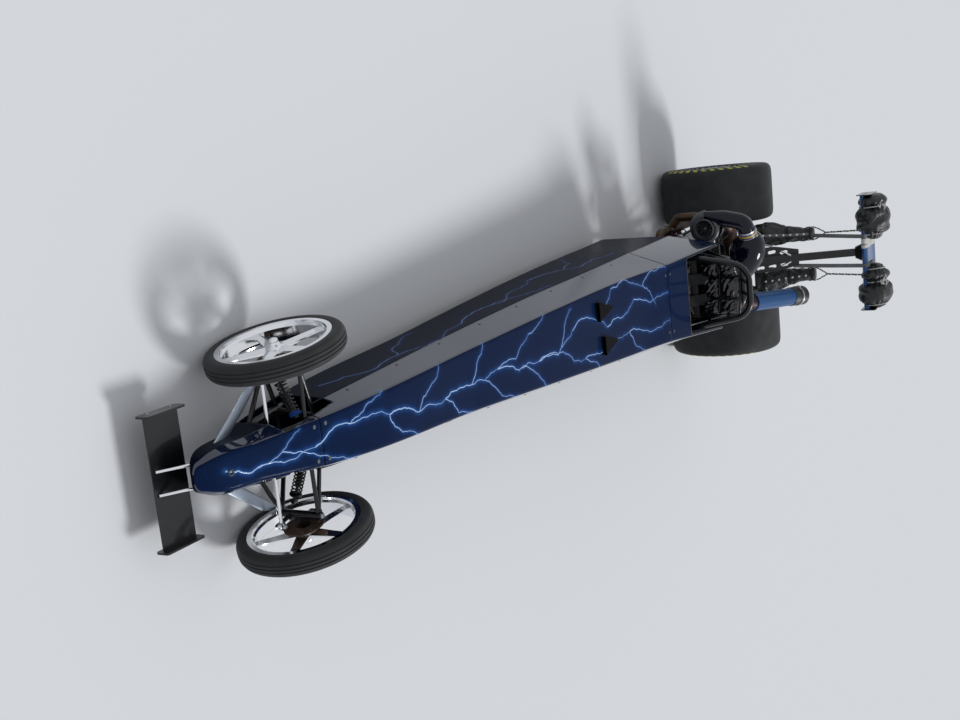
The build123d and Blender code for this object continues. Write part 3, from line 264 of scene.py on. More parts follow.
def aft(distance):
    """Y of a place measured aft of the front axle."""
    return FRONT_AXLE + distance


def linear(colour):
    """A colour written as sRGB hex, as linear red, green, blue and alpha."""
    values = [int(colour[i:i + 2], 16) / 255 for i in (1, 3, 5)]
    return [v / 12.92 if v <= 0.04045 else ((v + 0.055) / 1.055) ** 2.4 for v in values] + [1.0]


def add_node(tree, kind, settings=None, **inputs):
    """Adds a node; settings are its properties, and inputs are values or sockets by input name."""
    made = tree.nodes.new(kind)
    for name, value in (settings or {}).items():
        setattr(made, name, value)
    for name, value in inputs.items():
        key = int(name[1:]) if name[0] == "i" and name[1:].isdigit() else name.replace("_", " ")
        if isinstance(value, bpy.types.NodeSocket):
            tree.links.new(value, made.inputs[key])
        else:
            made.inputs[key].default_value = value
    return made


def new_material(name, base, roughness, metallic=0.0, **extra):
    """A material with one principled shader; returns the material, its tree and the shader."""
    material = bpy.data.materials.new(name)
    material.use_nodes = True
    tree = material.node_tree
    shader = tree.nodes["Principled BSDF"]
    shader.inputs["Base Color"].default_value = linear(base)
    shader.inputs["Roughness"].default_value = roughness
    shader.inputs["Metallic"].default_value = metallic
    for key, value in extra.items():
        shader.inputs[key.replace("_", " ")].default_value = value
    return material, tree, shader


def object_coordinates(tree, size_mm=1000.0, stretch=(1, 1, 1)):
    """Object coordinates scaled so that one pattern unit is size_mm long."""
    source = add_node(tree, "ShaderNodeTexCoord")
    scale = [1000.0 / size_mm * s for s in stretch]
    return add_node(tree, "ShaderNodeMapping", Vector=source.outputs["Object"], Scale=scale).outputs[0]


def grain(tree, size_mm, stretch=(1, 1, 1), detail=3.0):
    """Noise whose lumps are size_mm across."""
    where = object_coordinates(tree, size_mm, stretch)
    return add_node(tree, "ShaderNodeTexNoise", Vector=where, Scale=1.0, Detail=detail).outputs["Fac"]


def spread(tree, value, low, high, start=0.0, end=1.0):
    """A value between start and end, remapped to run from low to high."""
    return add_node(tree, "ShaderNodeMapRange", Value=value, From_Min=start, From_Max=end, To_Min=low,
                    To_Max=high).outputs[0]


def blend_colours(tree, share, first, second):
    """Two colours, hex or sockets, mixed by a share."""
    mix = add_node(tree, "ShaderNodeMix", {"data_type": "RGBA"}, i0=share)
    for index, colour in ((6, first), (7, second)):
        if isinstance(colour, str):
            mix.inputs[index].default_value = linear(colour)
        else:
            tree.links.new(colour, mix.inputs[index])
    return mix.outputs[2]


def tint(tree, shader, share, first, second):
    """The shader's colour: two colours mixed by a share."""
    tree.links.new(blend_colours(tree, share, first, second), shader.inputs["Base Color"])


def bump(tree, shader, height, depth_mm, before=None):
    """Raises the shader's surface by a height of the depth given."""
    made = add_node(tree, "ShaderNodeBump", Height=height, Distance=depth_mm / 1000.0, Strength=1.0)
    if before is not None:
        tree.links.new(before, made.inputs["Normal"])
    tree.links.new(made.outputs[0], shader.inputs["Normal"])
    return made.outputs[0]


def car_enamel(name, base, flake, coat=0.3, coat_ior=1.15, haze=0.03):
    """Metallic car enamel under clear coat: deep colour, fine flakes and a smooth wet skin."""
    material, tree, shader = new_material(name, base, 0.38, 0.0, Coat_Weight=coat, Coat_Roughness=haze,
                                          Coat_IOR=coat_ior, Specular_IOR_Level=0.02)
    sparkle = grain(tree, 3.0, detail=1.0)
    colour = blend_colours(tree, spread(tree, sparkle, 0.0, 1.0, 0.35, 0.75), base, flake)
    glow = add_node(tree, "ShaderNodeAttribute", {"attribute_name": "glow"}).outputs["Fac"]
    tint(tree, shader, glow, colour, "#2f68bd")
    bump(tree, shader, grain(tree, 14.0, detail=2.0), 0.006)
    return material


def wing_enamel(name, base):
    """Blue enamel that changes to black at the wing's end plates, 432 mm out."""
    material, tree, shader = new_material(name, base, 0.35, Coat_Weight=0.6, Coat_Roughness=0.04,
                                          Coat_IOR=1.3, Specular_IOR_Level=0.1)
    where = add_node(tree, "ShaderNodeSeparateXYZ", Vector=object_coordinates(tree)).outputs["X"]
    out = add_node(tree, "ShaderNodeMath", {"operation": "ABSOLUTE"}, i0=where).outputs[0]
    plate = spread(tree, out, 0.0, 1.0, 0.4312, 0.4318)
    sparkle = spread(tree, grain(tree, 3.0, detail=1.0), 0.0, 0.5, 0.35, 0.75)
    flakes = blend_colours(tree, sparkle, base, "#44699a")
    tint(tree, shader, plate, flakes, "#101115")
    return material


def gloss_enamel(name, base):
    """Plain gloss enamel on steel tube: even colour, slight orange peel and light dust."""
    material, tree, shader = new_material(name, base, 0.3, Coat_Weight=0.5, Coat_Roughness=0.06,
                                          Coat_IOR=1.4, Specular_IOR_Level=0.25)
    dust = spread(tree, grain(tree, 60.0), 0.0, 0.2, 0.45, 0.9)
    tint(tree, shader, dust, base, "#2c2c2d")
    bump(tree, shader, grain(tree, 5.0), 0.02)
    return material


def polished_metal(name, base, roughness, scratch_mm):
    """Bare metal polished by hand: mirror-like with fine crossing scratches."""
    material, tree, shader = new_material(name, base, roughness, 1.0)
    scratches = grain(tree, scratch_mm, (1, 1, 8), 6.0)
    level = spread(tree, scratches, roughness * 0.7, roughness * 1.8)
    tree.links.new(level, shader.inputs["Roughness"])
    bump(tree, shader, scratches, 0.01)
    return material


def cast_metal(name, base, roughness, grit_mm):
    """Sand-cast metal: dull, with a pebbled skin and darker hollows."""
    material, tree, shader = new_material(name, base, roughness, 0.9)
    pebbles = grain(tree, grit_mm, detail=4.0)
    stains = spread(tree, grain(tree, 45.0), 0.0, 0.6, 0.45, 0.8)
    tint(tree, shader, stains, base, "#4a4744")
    bump(tree, shader, pebbles, 0.25)
    return material


def tyre_rubber(name, base, dust, roughness):
    """Vulcanised rubber: nearly black, scuffed grey where it meets the road."""
    material, tree, shader = new_material(name, base, roughness, Sheen_Weight=0.05)
    scuffs = spread(tree, grain(tree, 45.0, (1, 1, 1), 6.0), 0.0, 1.0, 0.3, 0.75)
    tint(tree, shader, scuffs, base, dust)
    tree.links.new(spread(tree, grain(tree, 90.0), roughness - 0.1, roughness + 0.06, 0.3, 0.7),
                   shader.inputs["Roughness"])
    bump(tree, shader, grain(tree, 1.8, detail=6.0), 0.25)
    return material


def woven_cloth(name, base, light, thread_mm):
    """Woven nylon: a plain weave of thin threads with a soft sheen."""
    material, tree, shader = new_material(name, base, 0.75, Sheen_Weight=0.35, Sheen_Roughness=0.5)
    shader.inputs["Sheen Tint"].default_value = linear(light)
    where = object_coordinates(tree, thread_mm * 2)
    warp, weft = (add_node(tree, "ShaderNodeTexWave", {"bands_direction": way}, Vector=where,
                           Scale=1.0).outputs["Fac"] for way in "XZ")
    weave = add_node(tree, "ShaderNodeMath", {"operation": "MULTIPLY"}, i0=warp, i1=weft).outputs[0]
    patches = spread(tree, grain(tree, 80.0), 0.0, 0.6, 0.4, 0.8)
    tint(tree, shader, patches, base, light)
    bump(tree, shader, weave, thread_mm * 0.3)
    return material


def matte_plastic(name, base, roughness, grit_mm, shine=0.5):
    """Moulded or vinyl-covered black trim: fine leathery grain and a low gloss."""
    material, tree, shader = new_material(name, base, roughness, Specular_IOR_Level=shine)
    pores = grain(tree, grit_mm, detail=4.0)
    bump(tree, shader, pores, 0.15)
    return material


def creased_vinyl(name, base, crease_mm):
    """Thin glossy vinyl over foam: soft creases catch long bright reflections."""
    material, tree, shader = new_material(name, base, 0.22, Coat_Weight=0.5, Coat_Roughness=0.12)
    creases = grain(tree, crease_mm, (1, 1, 0.4), 2.0)
    fine = bump(tree, shader, grain(tree, 1.0, detail=3.0), 0.04)
    bump(tree, shader, creases, 5.0, fine)
    return material


def ripstop(name, base, light, square_mm):
    """Ripstop nylon: a crinkled shiny cloth with a fine square grid of thicker threads."""
    material, tree, shader = new_material(name, base, 0.42, Sheen_Weight=0.12, Sheen_Roughness=0.35)
    shader.inputs["Sheen Tint"].default_value = linear(light)
    where = object_coordinates(tree, square_mm)
    threads = add_node(tree, "ShaderNodeTexVoronoi", {"distance": "CHEBYCHEV"}, Vector=where, Scale=1.0)
    threads.inputs["Randomness"].default_value = 0.0
    grid = spread(tree, threads.outputs["Distance"], 0.0, 1.0, 0.42, 0.5)
    faded = spread(tree, grain(tree, 110.0), 0.0, 0.8, 0.4, 0.8)
    tint(tree, shader, faded, base, light)
    fine = bump(tree, shader, grid, 0.15)
    bump(tree, shader, grain(tree, 16.0, (1, 1, 1), 4.0), 1.6, fine)
    return material


def moulded_rubber(name, base, roughness):
    """Silicone or rubber moulding: smooth, faintly waxy and slightly dusty."""
    material, tree, shader = new_material(name, base, roughness)
    dust = spread(tree, grain(tree, 30.0), 0.0, 0.25, 0.4, 0.8)
    tint(tree, shader, dust, base, "#8a8a8a")
    bump(tree, shader, grain(tree, 3.0), 0.05)
    return material


def heat_steel(name):
    """Welded steel header pipe: straw, brown and blue heat colours over a dull grey, all darkened as painted
    shade.
    """
    material, tree, shader = new_material(name, "#45403c", 0.48, 1.0)
    ramp = add_node(tree, "ShaderNodeValToRGB", Fac=grain(tree, 120.0))
    tones = ramp.color_ramp.elements
    tones[0].position, tones[0].color = 0.3, linear("#4a4540")
    tones[1].position, tones[1].color = 0.75, linear("#3c3f47")
    for place, tone in ((0.5, "#4d3b2b"), (0.62, "#332d3a")):
        tones.new(place).color = linear(tone)
    tree.links.new(ramp.outputs[0], shader.inputs["Base Color"])
    bump(tree, shader, grain(tree, 1.5), 0.05)
    return material


def rusted_iron(name):
    """Bare iron brake disc with a thin brown rust bloom."""
    material, tree, shader = new_material(name, "#6d4a36", 0.7, 0.35)
    bloom = spread(tree, grain(tree, 12.0, detail=6.0), 0.0, 1.0, 0.35, 0.65)
    tint(tree, shader, bloom, "#342c28", "#5c4434")
    bump(tree, shader, grain(tree, 1.2), 0.2)
    return material


def seen_rays(tree):
    """One where the camera, a mirror or glass sees a surface, and nought where it only bounces light."""
    path = add_node(tree, "ShaderNodeLightPath")
    seen = add_node(tree, "ShaderNodeMath", {"operation": "ADD"}, i0=path.outputs["Is Camera Ray"],
                    i1=path.outputs["Is Glossy Ray"])
    return add_node(tree, "ShaderNodeMath", {"operation": "ADD", "use_clamp": True}, i0=seen.outputs[0],
                    i1=path.outputs["Is Transmission Ray"]).outputs[0]


def studio_floor(name):
    """Painted plaster floor: plain and matt, a shade lighter where the camera or a mirror sees it."""
    material, tree, shader = new_material(name, "#d9dbde", 0.9, Specular_IOR_Level=0.0)
    tint(tree, shader, seen_rays(tree), "#a9abad", BACKDROP)
    return material


def make_materials(sizes):
    """Every finish on the car, by its slot in the record or its own name."""
    MATERIALS.update({
        "body_paint": car_enamel("navy metallic car enamel, clear coated", sizes.body_colour, "#11274f"),
        "side_paint": car_enamel("navy car enamel, flatted and polished to a mirror", "#0b1830", "#12244a",
                                 1.0, 1.75),
        # Lower sides and belly: the navy enamel darkened near black, painted shade for the shadowed floor
        # they face
        "shaded_lower_paint": car_enamel("navy car enamel, darkened near black as painted shade", "#060b18", "#0b1634", 0.15, 1.2),
        "wing_paint": wing_enamel("blue car enamel on the wing, black on its end plates", sizes.wing_colour),
        "pipe_blue": car_enamel("blue car enamel on steel pipe", "#274c7e", "#335f94", 0.6, 1.35, 0.2),
        "bolt_paint": gloss_enamel("pale blue airbrush enamel, clear coated", "#a9c8f2"),
        # Bolts on the lower sides: the pale bolt paint darkened as painted shade
        "bolt_paint_shaded": gloss_enamel("dark blue airbrush enamel, clear coated", "#4a72ae"),
        "flat_black": matte_plastic("flat black enamel on folded sheet", "#050506", 0.7, 3.0, 0.08),
        "frame_black": gloss_enamel("black gloss enamel on steel tube", "#121316"),
        "black_panel": gloss_enamel("black gloss enamel on aluminium sheet", "#0e0f12"),
        "seat_liner": matte_plastic("black vinyl, leather grained", "#141416", 0.55, 2.0),
        "polished": polished_metal("polished aluminium", "#e6e7ea", 0.09, 6.0),
        "machined": polished_metal("machined aluminium", "#b4b7ba", 0.3, 3.0),
        # Brushed aluminium, its grey tinted blue as painted sky reflection
        "satin_metal": polished_metal("brushed aluminium, tinted blue as painted sky reflection", "#aab4c2", 0.34, 6.0),
        "cast_alloy": cast_metal("sand-cast aluminium", "#a3a6a9", 0.42, 1.4),
        "engine_iron": gloss_enamel("black engine enamel on cast iron", "#202226"),
        # Header steel: real heat colours, darkened overall as painted shade
        "heat_steel": heat_steel("heat-tinted steel pipe, darkened as painted shade"),
        "blue_anodised": car_enamel("dark blue anodised aluminium", "#04050f", "#0b0d2a", 0.8, 1.4),
        "rusty_disc": rusted_iron("rusted cast iron"),
        "tyre_black": tyre_rubber("vulcanised rubber, worn", "#1b1c1e", "#2c2d30", 0.82),
        "chute_fabric": woven_cloth("black woven nylon", "#0b0c0e", "#1b1c20", 2.0),
        "floor_plaster": studio_floor("painted plaster floor"),
        "webbing": woven_cloth("grey woven nylon webbing", "#6e7073", "#8b8d8f", 2.0),
        "belt": woven_cloth("black woven harness webbing", "#131416", "#2a2b2e", 2.0),
        "ripstop": ripstop("black ripstop nylon, crinkled", "#090a0c", "#191a1e", 5.0),
        "pale_nylon": woven_cloth("pale woven nylon tape", "#c9cac6", "#e4e4df", 1.2),
        "vinyl": creased_vinyl("black gloss vinyl over foam", "#0d0d10", 60.0),
        "padding": matte_plastic("black cloth-backed foam padding", "#19191c", 0.8, 1.2),
        # Inside the cockpit: blue paint, made brighter than the body's navy as painted sky light
        "inner_blue": car_enamel("bright blue car enamel inside the cockpit", "#1f57a6", "#2f6cc0"),
        "side_marks": moulded_rubber("yellow tyre paint on rubber", "#b9bd3a", 0.6),
        "hose_purple": moulded_rubber("purple silicone hose", "#47307f", 0.35),
        "hose_yellow": moulded_rubber("yellow silicone band", "#b8a534", 0.4),
        "hose_black": moulded_rubber("black rubber hose", "#17181a", 0.5),
        "lead_red": moulded_rubber("red silicone ignition lead", "#8e2320", 0.4),
        "grip_rubber": moulded_rubber("black moulded rubber grip", "#161618", 0.6),
        "zinc": polished_metal("zinc-plated steel", "#b9bcc0", 0.28, 2.0),
        "dull_steel": cast_metal("bare steel dulled by dust", "#5d6166", 0.55, 1.0),
        # Cast aluminium darkened as painted shade, for the turbocharger
        "turbo_shaded_grey": cast_metal("cast aluminium darkened as painted shade", "#54565a", 0.42, 1.4),
        "fitting_blue": car_enamel("blue anodised aluminium fitting", "#234ea0", "#3d6fd0"),
        "fitting_red": car_enamel("red anodised aluminium fitting", "#93211f", "#b8403a"),
    })


def turn_outwards(mesh, merge=False):
    """Turns a closed mesh's faces outwards, points that coincide merged first where merge is set."""
    work = bmesh.new()
    work.from_mesh(mesh)
    if merge:
        bmesh.ops.remove_doubles(work, verts=work.verts, dist=1e-6)
    bmesh.ops.recalc_face_normals(work, faces=work.faces)
    work.to_mesh(mesh)
    work.free()


def add_object(name, data):
    """A new object of this data, in the scene."""
    made = bpy.data.objects.new(name, data)
    bpy.context.scene.collection.objects.link(made)
    return made


def make_mesh(name, points, faces, material, closed=False):
    """A mesh object at the origin from points and faces; a closed one has its faces turned outwards."""
    mesh = bpy.data.meshes.new(name)
    mesh.from_pydata(np.asarray(points, float).reshape(-1, 3).tolist(), [], [list(face) for face in faces])
    if closed:
        turn_outwards(mesh)
    mesh.update()
    mesh.polygons.foreach_set("use_smooth", [True] * len(mesh.polygons))
    mesh.set_sharp_from_angle(angle=SHARP)
    mesh.materials.append(MATERIALS[material])
    return add_object(name, mesh)


def vectors(items, key):
    """A vector that a mesh's points or faces each hold, as rows."""
    values = np.empty(len(items) * 3, np.float32)
    items.foreach_get(key, values)
    return values.reshape(-1, 3)


def grid_faces(rows, columns, wrap_rows=False, wrap_columns=False):
    """Quads of a grid of rows by columns, joined round where it wraps."""
    r = np.arange(rows if wrap_rows else rows - 1)[:, None]
    c = np.arange(columns if wrap_columns else columns - 1)[None, :]
    below, right = (r + 1) % rows, (c + 1) % columns
    quads = np.stack([r * columns + c, r * columns + right, below * columns + right,
                      below * columns + c], axis=-1)
    return quads.reshape(-1, 4)


def grid_object(name, grid, material, wrap_rows=False, wrap_columns=False, keep=None, flip=False,
                closed=False):
    """A surface from a grid of points, rows by columns; keep masks its faces."""
    rows, columns = grid.shape[:2]
    quads = grid_faces(rows, columns, wrap_rows, wrap_columns)
    if keep is not None:
        quads = quads[keep.reshape(-1)]
    if flip:
        quads = quads[:, ::-1]
    return make_mesh(name, grid, quads.tolist(), material, closed)


def many(name, grids, material):
    """One mesh of closed forms: each a grid whose columns go round and whose end rows are capped."""
    points, faces, base = [], [], 0
    for grid in grids:
        rows, columns = grid.shape[:2]
        points.append(grid.reshape(-1, 3))
        faces += (grid_faces(rows, columns, wrap_columns=True) + base).tolist()
        faces.append(range(base, base + columns))
        faces.append(range(base + (rows - 1) * columns, base + rows * columns))
        base += rows * columns
    return make_mesh(name, np.concatenate(points), faces, material, closed=True)


def attach(piece, body="chassis", node=None):
    """Rides a piece on its body and, where a node is named, shows it instead."""
    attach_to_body(piece, body)
    if node:
        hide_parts(node)
    return piece


def trim(name, forms, material, body="chassis"):
    """One piece of closed forms, attached."""
    return attach(many(name, forms, material), body)


def hoop(name, grid, material, body="chassis", node=None):
    """A closed ring whose grid goes round both ways, attached."""
    ring = grid_object(name, grid, material, wrap_rows=True, wrap_columns=True, closed=True)
    return attach(ring, body, node)


def patches(name, grids, material, thickness):
    """One mesh of open patches, each a grid, given a wall that grows inwards."""
    points, faces, base = [], [], 0
    for grid in grids:
        rows, columns = grid.shape[:2]
        points.append(grid.reshape(-1, 3))
        faces += (grid_faces(rows, columns) + base).tolist()
        base += rows * columns
    return thicken(make_mesh(name, np.concatenate(points), faces, material), thickness)


def thicken(piece, thickness, offset=-1.0):
    """Gives a sheet its wall, grown away from its outer face."""
    wall = piece.modifiers.new("wall", "SOLIDIFY")
    wall.thickness = thickness
    wall.offset = offset
    return piece


def unit(vector):
    """A vector, or each row of an array of them, at length one."""
    vector = np.asarray(vector, float)
    return vector / np.linalg.norm(vector, axis=-1, keepdims=True)


def around(count):
    """Angles spread evenly over one turn."""
    return np.linspace(0, 2 * pi, count, endpoint=False)


def spokes(axle, turn):
    """Ways out from an axle, turned about it from straight up by angles."""
    return np.cos(turn)[..., None] * UP + np.sin(turn)[..., None] * np.cross(axle, UP)


def turned(profile, centre, axle, steps=48):
    """A profile of radius and distance along an axle, turned about it: columns go round."""
    axle = unit(axle)
    up = unit(np.cross(axle, UP if abs(axle[2]) < 0.9 else LEFT))
    across = np.cross(axle, up)
    turn = around(steps)[None, :, None]
    radial = np.cos(turn) * up + np.sin(turn) * across
    profile = np.asarray(profile, float)[:, None, :]
    return np.asarray(centre, float) + radial * profile[..., :1] + axle * profile[..., 1:2]


def studs(places, ways, radius, height, sides=6):
    """Bolt heads: a prism with a chamfered top at each place, standing along its way."""
    outline = [(radius, -0.001), (radius, height * 0.75), (radius * 0.82, height)]
    ways = np.broadcast_to(np.asarray(ways, float), (len(places), 3))
    return [turned(outline, place, way, sides) for place, way in zip(places, ways)]


def tube_points(path, radius, sides=12):
    """Points of a round tube along a path, its frame carried along without twist."""
    path = np.asarray(path, float)
    ahead = unit(np.gradient(path, axis=0))
    side = np.cross(ahead[0], [0.31, 0.17, 0.94])
    carried = []
    for direction in ahead:
        side = unit(side - direction * np.dot(side, direction))
        carried.append(side)
    side = np.array(carried)
    other = np.cross(ahead, side)
    turn = around(sides)
    radius = np.broadcast_to(np.asarray(radius, float), (len(path),))[:, None, None]
    ring = np.cos(turn)[None, :, None] * side[:, None] + np.sin(turn)[None, :, None] * other[:, None]
    return path[:, None] + ring * radius


def round_bar(start, end, radius, sides=16):
    """A straight round bar with softened ends."""
    start, end = np.asarray(start, float), np.asarray(end, float)
    way = unit(end - start)
    soft = min(radius * 0.3, 0.002)
    path = np.array([start, start + way * soft, end - way * soft, end])
    return tube_points(path, [radius - soft, radius, radius, radius - soft], sides)


def squared(wave, power):
    """A sine or cosine made squarer, as a superellipse's: the smaller the power, the squarer."""
    return np.sign(wave) * np.abs(wave) ** power


def strap(path, normals, width, thickness):
    """Flat webbing along a path: a rounded band whose face looks along the normals."""
    path, normals = np.asarray(path, float), np.asarray(normals, float)
    ahead = unit(np.gradient(path, axis=0))
    normals = unit(normals - ahead * (normals * ahead).sum(-1, keepdims=True))
    across = np.cross(ahead, normals)
    turn = around(16)
    flat = squared(np.cos(turn), 0.3) * width / 2
    rise = squared(np.sin(turn), 0.6) * thickness / 2
    return path[:, None] + across[:, None] * flat[None, :, None] + normals[:, None] * rise[None, :, None]


def smooth_path(points, steps=40):
    """A smooth path through points: a Catmull-Rom curve sampled evenly in its parameter."""
    p = np.asarray(points, float)
    p = np.vstack([2 * p[0] - p[1], p, 2 * p[-1] - p[-2]])
    t = np.linspace(0, len(p) - 3 - 1e-9, steps)
    i = t.astype(int)
    f = (t - i)[:, None]
    a, b, c, d = p[i], p[i + 1], p[i + 2], p[i + 3]
    return 0.5 * (2 * b + (c - a) * f + (2 * a - 5 * b + 4 * c - d) * f ** 2
                  + (3 * b - a - 3 * c + d) * f ** 3)


def body_column(column, distance):
    """A column of the body's stations at distances, on a smooth curve through them."""
    y, v = BODY[:, 0], BODY[:, column]
    slope = np.gradient(v, y)
    i = np.clip(np.searchsorted(y, distance) - 1, 0, len(y) - 2)
    h = y[i + 1] - y[i]
    t = np.clip((distance - y[i]) / h, 0, 1)
    return ((2 * t ** 3 - 3 * t ** 2 + 1) * v[i] + (t ** 3 - 2 * t ** 2 + t) * h * slope[i]
            + (-2 * t ** 3 + 3 * t ** 2) * v[i + 1] + (t ** 3 - t ** 2) * h * slope[i + 1])


def corner(column, distance, side=1):
    """A corner of the body at distances: x to one side and z."""
    return np.stack([side * body_column(column, distance), body_column(column + 1, distance)], -1)


def rounded_run(corners, radii, counts):
    """A run from corner to corner with each inner corner rounded to its radius.

    corners are arrays of points, one a station, and the rounding is a quadratic arc that starts
    and ends at radius times the tangent of half the turn from the corner. counts are the points
    on each straight and on each arc.
    """
    pieces = []
    start = corners[0]
    for index in range(1, len(corners)):
        here = corners[index]
        if index == len(corners) - 1:
            share = np.linspace(0, 1, counts[0])[:, None, None]
            pieces.append(start + (here - start) * share)
            break
        into, out = unit(here - corners[index - 1]), unit(corners[index + 1] - here)
        turn = np.arccos(np.clip((into * out).sum(-1, keepdims=True), -1, 1))
        cut = radii[index - 1] * np.tan(turn / 2)
        stop, leave = here - into * cut, here + out * cut
        share = np.linspace(0, 1, counts[0], endpoint=False)[:, None, None]
        pieces.append(start + (stop - start) * share)
        share = np.linspace(0, 1, counts[1], endpoint=False)[:, None, None]
        pieces.append((1 - share) ** 2 * stop + 2 * share * (1 - share) * here + share ** 2 * leave)
        start = leave
    return np.concatenate(pieces).transpose(1, 0, 2)


def body_grid(distances, section):
    """Points of body sections: rows along the car, columns round the section."""
    y = np.broadcast_to(aft(distances)[:, None], section.shape[:2])
    return np.stack([section[..., 0], y, section[..., 1]], -1)


def edge_round(distances, radius):
    """A corner's radius at distances, smaller near the nose tip, as a column."""
    return (np.minimum(1, (body_column(DECK, distances) / 0.040) ** 1.5) * radius)[:, None]


def upper_section(distances):
    """From the left crease over the deck to the right crease."""
    corners = [corner(CREASE, distances), corner(DECK, distances), corner(DECK, distances, -1),
               corner(CREASE, distances, -1)]
    return rounded_run(corners, [edge_round(distances, DECK_ROUND)] * 2, UPPER_COUNTS)


def lower_section(distances):
    """From the right crease under the belly to the left crease."""
    corners = [corner(CREASE, distances, -1), corner(BELLY, distances, -1), corner(BELLY, distances),
               corner(CREASE, distances)]
    return rounded_run(corners, [edge_round(distances, BELLY_ROUND)] * 2, LOWER_COUNTS)


def whole_grid(distances):
    """Points of body sections all the way round, from the left crease over the deck."""
    upper, lower = upper_section(distances)[:, :-1], lower_section(distances)[:, :-1]
    return body_grid(distances, np.concatenate([upper, lower], 1))


def even_path(path, step, least):
    """A path's points spread evenly about a step apart, and how far along it each stands."""
    run = np.concatenate([[0], np.cumsum(np.linalg.norm(np.diff(path, axis=0), axis=1))])
    along = np.linspace(0, run[-1], max(least, int(run[-1] / step)))
    return np.stack([np.interp(along, run, path[:, k]) for k in range(path.shape[1])], -1), along


def jagged(start, end, random):
    """A jagged line from start to end, each half pushed sideways by a tenth of its length."""
    points = np.array([start, end], float)
    for level in range(5):
        middle = (points[:-1] + points[1:]) / 2
        along = points[1:] - points[:-1]
        normal = np.stack([-along[:, 1], along[:, 0]], -1)
        middle += normal * (random.random((len(middle), 1)) - 0.5) * 2 * KINK * (1.5 if level < 2 else 1)
        merged = np.empty((len(points) + len(middle), 2))
        merged[0::2], merged[1::2] = points, middle
        points = merged
    return points


def bolt_lines(table, half_width):
    """Every bolt as a jagged line in metres, with its width; it starts on an earlier bolt within reach."""
    random = np.random.default_rng(SEED)
    lines = []
    for start, start_across, end, end_across, width in table:
        a = np.array([start, start_across * half_width(start)])
        b = np.array([end, end_across * half_width(end)])
        if lines:
            path = np.concatenate([line for line, _ in lines])
            gap = np.linalg.norm(path - a, axis=1)
            a = path[gap.argmin()] if gap.min() < FORK_REACH else a
        line = jagged(a, b, random)
        line[:, 1] = np.clip(line[:, 1], -half_width(line[:, 0]), half_width(line[:, 0]))
        lines.append((line, width / 1000.0))
    return lines


def deck_half(distance):
    """Half the width that the deck's bolts keep to at a distance, just past its edge."""
    return body_column(DECK, np.asarray(distance)) + 0.002


def glow_field(place, lines):
    """Brightness of the airbrushed halo at points, from the distance to the nearest bolt."""
    nearest = np.full(len(place), 9.0)
    for line, width in lines:
        a, b = line[:-1], line[1:]
        along = b - a
        length = (along ** 2).sum(-1)
        for first, step, size in zip(a, along, length):
            share = np.clip(((place - first) @ step) / size, 0, 1)
            gap = np.linalg.norm(place - first - share[:, None] * step, axis=1) - width * 0.3
            nearest = np.minimum(nearest, gap / (width / 0.006))
    past = np.maximum(nearest, 0)
    return 0.75 * np.exp(-(past / (HALO_REACH * 0.45)) ** 2) + 0.25 * np.exp(-past / HALO_REACH)


def set_glow(piece, values):
    """Stores the halo's brightness on a piece's points."""
    layer = piece.data.attributes.new("glow", "FLOAT", "POINT")
    layer.data.foreach_set("value", np.ascontiguousarray(values, np.float32))


def bolt_ribbon(name, lines, surface, material):
    """The bolts' bright cores as thin raised ribbons that narrow towards their ends."""
    points, faces, base = [], [], 0
    for line, width in lines:
        middle, _ = even_path(line, BOLT_STEP, 8)
        count = len(middle)
        ahead = unit(np.gradient(middle, axis=0))
        side = np.stack([-ahead[:, 1], ahead[:, 0]], -1)
        half = width / 2 * (1 - 0.75 * np.linspace(0, 1, count))[:, None]
        edges = np.stack([surface(middle + side * half), surface(middle - side * half)], 1)
        points.append(edges.reshape(-1, 3))
        faces.append(grid_faces(count, 2) + base)
        base += count * 2
    piece = make_mesh(name, np.concatenate(points), np.concatenate(faces).tolist(), material)
    return thicken(piece, 0.0004, 1.0)


def on_deck(place):
    """Points on the deck's skin from distances and x; they follow its rounded edges down.

    An edge is the quadratic arc of rounded_run, solved for its share t at the point's x.
    """
    distance, x = place.T
    edge, height = body_column(DECK, distance), body_column(DECK + 1, distance)
    turn = np.arctan2(height - body_column(CREASE + 1, distance), body_column(CREASE, distance) - edge)
    cut = edge_round(distance, DECK_ROUND)[:, 0] * np.tan(turn / 2)
    bend = 1 - np.cos(turn)
    t = (1 - np.sqrt(np.maximum(0, 1 - bend * np.maximum(0, (np.abs(x) - edge) / cut + 1)))) / bend
    return np.stack([x, aft(distance), height - t ** 2 * cut * np.sin(turn) + PAINT_LIFT], -1)


def side_height(distance):
    """Height of the lower side at a distance, from the belly edge to the crease."""
    distance = np.asarray(distance, float)
    return body_column(CREASE + 1, distance) - body_column(BELLY + 1, distance)


def raked_edge(height):
    """How far aft the cowl's raked rear edge stands at a height."""
    return RAKE_FOOT + (height - FLOOR_Z) / RAKE_RISE * RAKE_RUN


def drawn_back(distance, edge):
    """Y of a place behind the crest, once the cowl's end is drawn to an edge."""
    return aft(CREST + (distance - CREST) / (COWL_END - CREST) * (edge - CREST))


def on_side(side):
    """Maker of points on a lower side's skin from distances and heights above the belly edge."""
    def place_on(place):
        distance = place[:, 0]
        share = place[:, 1] / side_height(distance)
        low, high = body_column(BELLY, distance), body_column(CREASE, distance)
        z = body_column(BELLY + 1, distance) + place[:, 1]
        return np.stack([side * (low + (high - low) * share + PAINT_LIFT), aft(distance), z], -1)
    return place_on


